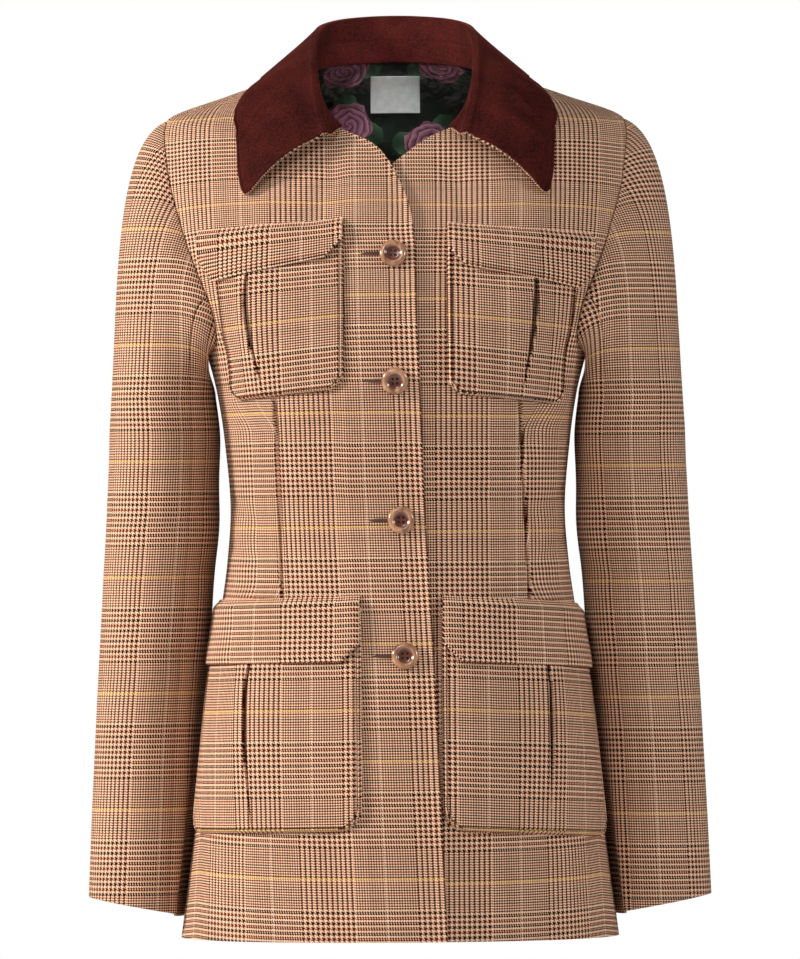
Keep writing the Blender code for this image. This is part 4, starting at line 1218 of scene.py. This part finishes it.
# How far the slit of each pocket bows outwards in the middle of its height
PLEAT_BOW = {
    ("chest", "right"): 0.0075,
    ("chest", "left"): 0.0030,
    ("lower", "right"): 0.0045,
    ("lower", "left"): 0.0,
}
PUFF = {"chest": 0.0010, "lower": 0.0016}
FLAP_OVERLAP = 0.0030
FLAP_ABOVE = 0.0090
FLAP_CLIP = 0.0140
# The free edge of a flap stands off by this much, and by up to this much more where it waves
FLAP_STAND_OFF = 0.0012
FLAP_WAVE = 0.0010
FOLD_GAP = 0.00035
UNDERLAY = TWEED / 2 + LAYER_GAP + POCKET_CLOTH / 2
FOLD_BACK = UNDERLAY + POCKET_CLOTH + FOLD_GAP
POCKET_FACE = FOLD_BACK + POCKET_CLOTH + FOLD_GAP
FLAP_FACE = POCKET_FACE + POCKET_CLOTH / 2 + LAYER_GAP + FLAP_CLOTH / 2
FLAP_ROOT = TWEED / 2 + LAYER_GAP + FLAP_CLOTH / 2
GUSSET_ROOT = TWEED / 2 + LAYER_GAP
GUSSET_STEP = POCKET_CLOTH + 0.0003
GUSSET_FLARE = 0.0022
GUSSET_WIDTH = 0.004
SIDE_MARGIN = 0.006
# The rounded edge of a pocket, its row of stitches, and columns close enough to show both
EDGE_DROP = 0.0009
EDGE_ROUND = 0.0016
STITCH_FROM_EDGE = 0.0024
STITCH_DEPTH = 0.00045
STITCH_WIDTH = 0.0007
EDGE_STEPS = np.array([0, 0.0005, 0.0010, 0.0016, 0.0020, 0.0024, 0.0028, 0.0034, 0.0042])

Check = namedtuple("Check", "pale gold hidden flap_pale flap_gold")
CHECKS = {
    ("chest", "right"): Check(0.0220, 0.0570, 0.0080, 0.0328, -0.0414),
    ("chest", "left"): Check(0.0450, 0.0612, -0.0150, 0.0510, -0.0414),
    ("lower", "right"): Check(0.0363, 0.0944, 0.0000, -0.0050, 0.0200),
    ("lower", "left"): Check(0.0335, 0.0950, 0.0000, -0.0097, 0.0200),
}


def pocket_width(spec, z):
    """The width of a patch, which stops short of the side."""
    return np.minimum(spec.outer, distance_at(z, math.pi / 2) - SIDE_MARGIN) - spec.inner


def corner_inset(spec, level):
    """How far a rounded bottom corner draws the side edge in, at a height over the bottom."""
    short = np.maximum(0, spec.corner - level)
    return spec.corner - np.sqrt(spec.corner ** 2 - short ** 2)


def stitched_edge(gap):
    """The face rounds off at its edge and is pinched by a row of stitches just inside it."""
    pinch = STITCH_DEPTH * np.exp(-(((gap - STITCH_FROM_EDGE) / STITCH_WIDTH) ** 2))
    return -EDGE_DROP * (1 - ease(gap, 0, EDGE_ROUND)) - pinch


print("layers of a pocket over the front:", [round(h * 1000, 2) for h in (UNDERLAY, FOLD_BACK, POCKET_FACE)])

# %% The pocket patches
def pocket_patch(kind, side):
    spec = POCKETS[kind, side]
    check = CHECKS[kind, side]
    bend = spec.corner * (1 - np.cos(np.radians(np.linspace(30, 90, 7))))
    rest = np.linspace(spec.corner, spec.top - spec.bottom, 40)[1:]
    level = np.concatenate([EDGE_STEPS[:4], bend[bend > 0.0018], rest])[:, None]
    part = level / (spec.top - spec.bottom)
    width = pocket_width(spec, spec.bottom + level)
    inset = corner_inset(spec, level)
    pleat = width * (spec.pleat_low + (spec.pleat_high - spec.pleat_low) * part)
    pleat = pleat + PLEAT_BOW[kind, side] * np.sin(math.pi * np.clip(part, 0, 1))
    half_mouth = (PLEAT_MOUTH + PLEAT_GAPE * np.sin(math.pi * part) ** 1.3) / 2
    left = pleat - half_mouth
    right = pleat + half_mouth
    inside = np.linspace(0, 1, 24)[None, 1:]
    near = inset + EDGE_STEPS[None, :]
    far = width - inset - EDGE_STEPS[None, ::-1]
    first = near[:, -1:] + (left - near[:, -1:]) * inside
    last = right + (far[:, :1] - right) * (1 - inside[:, ::-1])
    under = left - PLEAT_DEPTH + (right - left + 2 * PLEAT_DEPTH) * np.linspace(0, 1, 9)[None, :]
    flat = np.ones(level.shape)
    swell = PUFF[kind] * np.sin(math.pi * np.clip(part / 0.8, 0, 1)) ** 1.5 * np.sin(math.pi * inside)
    # The edges of the slit stand off in the middle of its height
    gape = PLEAT_STAND_OFF * np.sin(math.pi * np.clip(part, 0, 1)) ** 1.2
    rising = ease(inside, 0.45, 1.0)
    strips = [
        (near, POCKET_FACE * flat),
        (first, POCKET_FACE + swell + gape * rising),
        (left, FOLD_BACK + gape * 0.9),
        (left - PLEAT_DEPTH, FOLD_BACK * flat),
        (under, UNDERLAY * flat),
        (right + PLEAT_DEPTH, FOLD_BACK * flat),
        (right, FOLD_BACK + gape * 0.9),
        (last, POCKET_FACE + swell + gape * rising[:, ::-1]),
        (far, POCKET_FACE * flat),
    ]
    across = np.concatenate([spots * flat for spots, _ in strips], axis=1)
    lift = np.concatenate([np.broadcast_to(h, (spots * flat).shape) for spots, h in strips], axis=1)
    on_face = lift >= POCKET_FACE - 1e-6
    side_gap = np.minimum(across - inset, width - inset - across)
    corner_gap = np.minimum(side_gap, level)
    lift = lift + on_face * stitched_edge(corner_gap)
    z = spec.bottom + level - spec.droop * across
    points = on_front(side, spec.inner + across, z, lift)
    hidden = np.where(np.arange(across.shape[1]) < near.shape[1] + first.shape[1] + 5, 0, check.hidden)
    weave = weave_of(COUNT[side] * (across + hidden - check.pale), level - check.gold)
    cloth(f"{kind}_pocket_bag_{side}", points, weave, POCKET_CLOTH, tweed,
          even=True)


for kind, side in POCKETS:
    pocket_patch(kind, side)
    tell(f"{kind}_pocket_bag_{side}")

# %% The bellows strips and the flaps
def bellows_strip(kind, side):
    """The strip from the front to the patch's edge, down one side, along the bottom and up the other."""
    spec = POCKETS[kind, side]
    check = CHECKS[kind, side]
    down_side = np.linspace(spec.top - spec.bottom, spec.corner, 30)[:-1]
    straight = np.zeros(len(down_side))
    bend = np.radians(np.linspace(90, 0, 10))
    level = np.concatenate([down_side, spec.corner * (1 - np.cos(bend))])
    inset = np.concatenate([straight, spec.corner * (1 - np.sin(bend))])
    out = np.concatenate([straight + 1, np.sin(bend)])
    down = np.concatenate([straight, np.cos(bend)])
    along = np.linspace(0, 1, 27)[1:-1]
    level = np.concatenate([level, along * 0, level[::-1]])[:, None]
    width = pocket_width(spec, spec.bottom + level)
    bottom = spec.corner + (width[len(inset) - 1, 0] - 2 * spec.corner) * along
    across = np.concatenate([inset[:, None], bottom[:, None], width[-len(inset):] - inset[::-1, None]])
    out = np.concatenate([-out, along * 0, out[::-1]])[:, None]
    down = np.concatenate([down, along * 0 + 1, down[::-1]])[:, None]
    share = np.linspace(0, 1, 6)[None, :]
    step = GUSSET_STEP + GUSSET_FLARE * (1 - share) ** 2
    lift = GUSSET_ROOT + (POCKET_FACE + POCKET_CLOTH / 2 - GUSSET_ROOT) * share
    z = spec.bottom + level - spec.droop * across - down * step
    points = on_front(side, spec.inner + across + out * step, z, lift)
    threads = GUSSET_WIDTH * (1 - share)
    counted = COUNT[side] * (across + out * threads - check.pale)
    weave = weave_of(counted, level - down * threads - check.gold)
    cloth(f"{kind}_pocket_gusset_{side}", points, weave, POCKET_CLOTH, tweed)


def flap(kind, side):
    """The flap: sewn flat above the patch, over its mouth, with clipped lower corners."""
    spec = POCKETS[kind, side]
    check = CHECKS[kind, side]
    drop = spec.flap_drop
    sewn = np.linspace(0, FLAP_ABOVE, 9)
    hanging = np.linspace(FLAP_ABOVE, drop - EDGE_STEPS[-1], 18)[1:]
    down = np.concatenate([sewn, hanging, drop - EDGE_STEPS[-2::-1]])[:, None]
    level = spec.top - spec.bottom + FLAP_ABOVE - down
    width = pocket_width(spec, spec.bottom + level)
    clip = np.maximum(0, down - (drop - FLAP_CLIP))
    start = clip - FLAP_OVERLAP
    whole = width + FLAP_OVERLAP + spec.flap_past - 2 * clip
    middle = EDGE_STEPS[-1] + (whole - 2 * EDGE_STEPS[-1]) * np.linspace(0, 1, 44)[None, 1:-1]
    gap = np.concatenate([EDGE_STEPS + whole * 0, middle, whole - EDGE_STEPS[::-1]], axis=1)
    across = start + gap
    edge_gap = np.minimum(np.minimum(gap, whole - gap), drop - down)
    lift = FLAP_ROOT + (FLAP_FACE - FLAP_ROOT) * ease(down, 0, FLAP_ABOVE * 0.9)
    # The free edge stands off a little, more at one corner than at the other
    wave = FLAP_WAVE * np.sin(5.0 * across / width + 1.3) ** 2
    stand_off = ease(down, drop * 0.35, drop) * (FLAP_STAND_OFF + wave)
    lift = lift + stand_off + stitched_edge(edge_gap) * ease(down, 0.002, FLAP_ABOVE)
    spread = spec.flap_spread * np.maximum(0, down - FLAP_ABOVE) / (drop - FLAP_ABOVE)
    z = spec.bottom + level - (spec.droop + spread) * across
    points = on_front(side, spec.inner + across, z, lift)
    weave = weave_of(COUNT[side] * (across + FLAP_OVERLAP - check.flap_pale), -down - check.flap_gold)
    cloth(f"{kind}_pocket_flap_{side}", points[::-1], weave[::-1], FLAP_CLOTH, tweed)


for kind, side in POCKETS:
    bellows_strip(kind, side)
    flap(kind, side)
    tell(f"{kind}_pocket_flap_{side}")

# %% [markdown]
# ## The lining and its label
# Through the neck one sees the lining of the upper back, with a soft pleat at the centre that lets the cloth
# give, and a small label sewn beneath the collar. Both lie on the inside of the back, so they use its points
# and are moved in by their layers. The label is left blank.

# %% Lining and label
LINING_CLOTH = 0.0010
LABEL_CLOTH = 0.0008
LINING_LOW_Z = -0.185
LINING_DEPTH = TWEED / 2 + 0.0003 + LINING_CLOTH / 2
LABEL_DEPTH = LINING_DEPTH + 0.0013
LABEL_SIZE = (0.041, 0.031)
LABEL_MIDDLE_Z = -0.024
# The share of the back's width that the lining spans, and how far down its pleat and puckers begin
LINING_SPAN = 0.93
GIVES_BELOW = (0.042, 0.056)
GIVE_PLEAT = 0.0018
GIVE_PLEAT_WIDTH = 0.014
PUCKERS = 0.0010

heights = panel_heights(NECK_RING_Z)
z = heights[heights > LINING_LOW_Z][:, None]
distance = outer_distance(z, back=True) * LINING_SPAN * np.linspace(-1, 1, 121)
z = np.broadcast_to(z, distance.shape)
gives = ease(-z, *GIVES_BELOW)
pleat = GIVE_PLEAT * gives * np.where(distance > 0, np.exp(-distance / GIVE_PLEAT_WIDTH), 0)
puckers = PUCKERS * gives * np.sin(distance * 210 + 40 * z) ** 2
points = on_back(distance, z, -LINING_DEPTH - pleat - puckers)
weave = weave_of(-distance, grain_at(z, distance, back=True))
cloth("lining_back", points, weave, LINING_CLOTH, lining_satin)

z = LABEL_MIDDLE_Z + LABEL_SIZE[1] * np.linspace(-0.5, 0.5, 19)[:, None]
distance = np.broadcast_to(LABEL_SIZE[0] * np.linspace(-0.5, 0.5, 25), (19, 25))
points = on_back(distance, z, -LABEL_DEPTH)
cloth("label", points, plain_weave(points), LABEL_CLOTH, label_satin)
tell("lining_back")
tell("label")

# %% [markdown]
# ## Four buttons
# A sew-through button is turned: one outline with a raised rim and a dished middle, spun round its axis,
# then drilled four times. Spinning a profile is how a lathe makes it and keeps the rim perfectly round. The
# drill is a Boolean with four small cylinders. Thread fills the holes and makes a short shank behind it.

# %% Button and thread shapes
Button = namedtuple("Button", "z past")
BUTTONS = [
    Button(-0.1426, -0.0025),
    Button(-0.2497, -0.0014),
    Button(-0.3630, 0.0026),
    Button(-0.4735, 0.0051),
]
BUTTON_GAP = 0.00075
HOLE_STEP = 0.0026
HOLE_RADIUS = 0.00105
THREAD_RADIUS = 0.00095
BUTTON_OUTLINE = [
    (0.0, 0.0024), (0.0042, 0.0024), (0.0053, 0.0026), (0.0061, 0.0032), (0.0068, 0.0039),
    (0.0076, 0.0043), (0.0085, 0.0043), (0.0094, 0.0040), (0.0102, 0.0034), (0.0108, 0.0027),
    (0.0110, 0.0020), (0.0107, 0.0012), (0.0098, 0.0004), (0.0086, 0.0), (0.0, 0.0),
]


def spun(outline, steps):
    shape = bmesh.new()
    verts = [shape.verts.new((radius, 0, height)) for radius, height in outline]
    edges = [shape.edges.new(pair) for pair in zip(verts, verts[1:])]
    bmesh.ops.spin(shape, geom=verts + edges, cent=(0, 0, 0), axis=(0, 0, 1), angle=2 * math.pi, steps=steps,
                   use_merge=True)
    bmesh.ops.remove_doubles(shape, verts=shape.verts, dist=1e-6)
    bmesh.ops.recalc_face_normals(shape, faces=shape.faces)
    return shape


def four_pegs(radius, low, high, sides):
    shape = bmesh.new()
    for k in range(4):
        peg = bmesh.ops.create_cone(shape, cap_ends=True, segments=sides, radius1=radius, radius2=radius,
                                    depth=high - low)
        angle = math.pi / 4 + k * math.pi / 2
        middle = (HOLE_STEP * math.cos(angle), HOLE_STEP * math.sin(angle), (low + high) / 2)
        bmesh.ops.translate(shape, vec=middle, verts=peg["verts"])
    return shape


blank = put("button_blank", mesh_of(spun(BUTTON_OUTLINE, 56), "button_blank"))
drill = put("button_drill", mesh_of(four_pegs(HOLE_RADIUS, -0.01, 0.01, 16), "button_drill"))
holes = blank.modifiers.new("holes", "BOOLEAN")
holes.operation = "DIFFERENCE"
holes.object = drill
drilled = bpy.data.meshes.new_from_object(blank.evaluated_get(bpy.context.evaluated_depsgraph_get()))
for helper in (blank, drill):
    bpy.data.objects.remove(helper)
drilled.shade_smooth()
drilled.set_sharp_from_angle(angle=math.radians(40))
spots = points_of(drilled)
set_cloth_map(drilled, np.stack([np.hypot(spots[:, 0], spots[:, 1]), spots[:, 2]], axis=-1))

pegs = four_pegs(THREAD_RADIUS, -0.0012, 0.0017, 12)
rims = [e for e in pegs.edges if e.calc_face_angle(0) > 1.2]
bmesh.ops.bevel(pegs, geom=rims, offset=0.0003, segments=2, profile=0.5, affect="EDGES", material=-1)
thread = mesh_of(pegs, "button_thread")
thread.shade_smooth()
print("button triangles:", sum(len(p.vertices) - 2 for p in drilled.polygons))

# %% Buttons in place
for number, button in enumerate(BUTTONS, 1):
    turn = turn_at(button.z, -button.past)
    normal = Vector(to_side(torso_normal(turn, button.z), "right"))
    seat = Vector(on_front("right", -button.past, button.z, TWEED / 2 + BUTTON_GAP))
    there = Matrix.Translation(seat) @ normal.to_track_quat("Z", "Y").to_matrix().to_4x4()
    for pattern, what, finish in ((drilled, "turned", horn), (thread, "thread", silk)):
        mesh = pattern.copy()
        mesh.transform(there)
        mesh.materials.clear()
        mesh.materials.append(finish)
        piece = put(f"button_{number}_{what}", mesh)
        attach(piece, "root")
        if finish is horn:
            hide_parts(f"button_{number}")
print("buttons:", len(BUTTONS))

# %% [markdown]
# ## Worked buttonholes
# Each buttonhole is a slit edged with close stitches of buttonhole twist. It starts under its button and
# reaches a little way towards the side. A narrow grid is laid on the front, raised into two lips with the
# slit between them, and its ribs come from the thread's material.

# %% Buttonholes
HOLE_LENGTH = 0.0260
HOLE_HALF_WIDTH = 0.0013
LIPS = np.array([-0.0009, 0.0002, 0.0005, 0.0004, -0.0009, 0.0004, 0.0005, 0.0002, -0.0009])[:, None]
TWIST_LIFT = 0.0004
TWIST_WALL = 0.0005

for number, button in enumerate(BUTTONS, 1):
    share = np.linspace(0, 1, 41)[None, :]
    level = np.linspace(-1, 1, len(LIPS))[:, None]
    # The far end closes in a bar, so the strip narrows over the last two fifths of its length
    narrow = np.sqrt(np.clip(1 - ease(share, 0.60, 1.0) ** 2, 0.02, 1))
    distance = -button.past + HOLE_LENGTH * share
    z = button.z + HOLE_HALF_WIDTH * narrow * level
    points = on_front("right", distance, z, TWEED / 2 + TWIST_LIFT + LIPS * narrow)
    weave = weave_of(HOLE_LENGTH * share, HOLE_HALF_WIDTH * level)
    piece = bent_grid(f"buttonhole_{number}", points, weave, silk)
    add_wall(piece, TWIST_WALL)
    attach(piece, "root")
print("buttonholes:", len(BUTTONS))

# %% [markdown]
# ## Floor, light and camera
# The jacket was photographed against plain white, filled out and with no stand in view. Two soft boxes stand
# far to its sides, the left one stronger, so the sleeves darken towards the body and the right of the body
# falls into shade. A weak one over the camera fills in, a small narrow one reaches into the neck, the white
# world only lifts the shadows, and a pale floor lies well below. The camera is far away with a long lens,
# level with the jacket's middle.

# %% Stage
FLOOR_HALF_SIZE = 3.0
FLOOR_Z = -1.0
shape = bmesh.new()
bmesh.ops.create_grid(shape, x_segments=1, y_segments=1, size=FLOOR_HALF_SIZE)
bmesh.ops.translate(shape, vec=(0, 0, FLOOR_Z), verts=shape.verts)
floor = put("floor", mesh_of(shape, "floor"))
paper, tree, shader = new_material("studio_paper")
set_inputs(tree, shader, {"Base Color": linear("#E9E8E6"), "Roughness": 0.9})
floor.data.materials.append(paper)


def soft_light(name, at, aim, size, spread, power, colour):
    light = bpy.data.lights.new(name, "AREA")
    light.size = size
    light.spread = math.radians(spread)
    light.energy = power
    light.color = linear(colour)[:3]
    lamp = put(name, light)
    lamp.location = at
    lamp.rotation_euler = (Vector(aim) - Vector(at)).to_track_quat("-Z", "Y").to_euler()


BODY = (0, 0, -0.35)
LABEL_SPOT = (0, 0.06, -0.01)
soft_light("left", (-3.58, -1.20, 1.1), BODY, 0.7, 180, 180, "#FFF6EE")
soft_light("right", (3.25, -1.65, 0.8), BODY, 0.9, 180, 54, "#FFFFFF")
soft_light("above", (-0.9, -2.5, 1.6), BODY, 1.0, 180, 30, "#FFFFFF")
soft_light("neck", (-0.10, -0.95, 0.75), LABEL_SPOT, 0.10, 8, 0.030, "#FFFFFF")

WHITE = (1, 1, 1, 1)
world = bpy.data.worlds.new("white_studio")
world.use_nodes = True
bpy.context.scene.world = world
tree = world.node_tree
tree.nodes.clear()
seen = add_node(tree, "ShaderNodeBackground", {"Color": WHITE, "Strength": 1.0})
fill = add_node(tree, "ShaderNodeBackground", {"Color": WHITE, "Strength": 0.06})
by_camera = add_node(tree, "ShaderNodeLightPath").outputs["Is Camera Ray"]
chosen = add_node(tree, "ShaderNodeMixShader", {0: by_camera, 1: fill.outputs[0], 2: seen.outputs[0]})
add_node(tree, "ShaderNodeOutputWorld", {"Surface": chosen.outputs[0]})
bpy.context.scene.view_settings.view_transform = "Standard"

# %% Camera
AWAY = 9.0
SENSOR = 36
# The height that the picture takes in: 959 pixels of 0.82 mm
VIEW_HEIGHT = 959 * 0.00082
lens = bpy.data.cameras.new("camera")
lens.sensor_fit = "VERTICAL"
lens.sensor_height = SENSOR
lens.lens = SENSOR * AWAY / VIEW_HEIGHT
camera = put("camera", lens)
camera.location = (0.002, -AWAY, -0.330)
camera.rotation_euler = (math.pi / 2, math.radians(0.35), 0)
bpy.context.scene.camera = camera
print("lens:", round(lens.lens), "mm")

# %% Finish
print("whole cut:", round(sum(area for _, _, area in cut.values()), 3), "square metres")
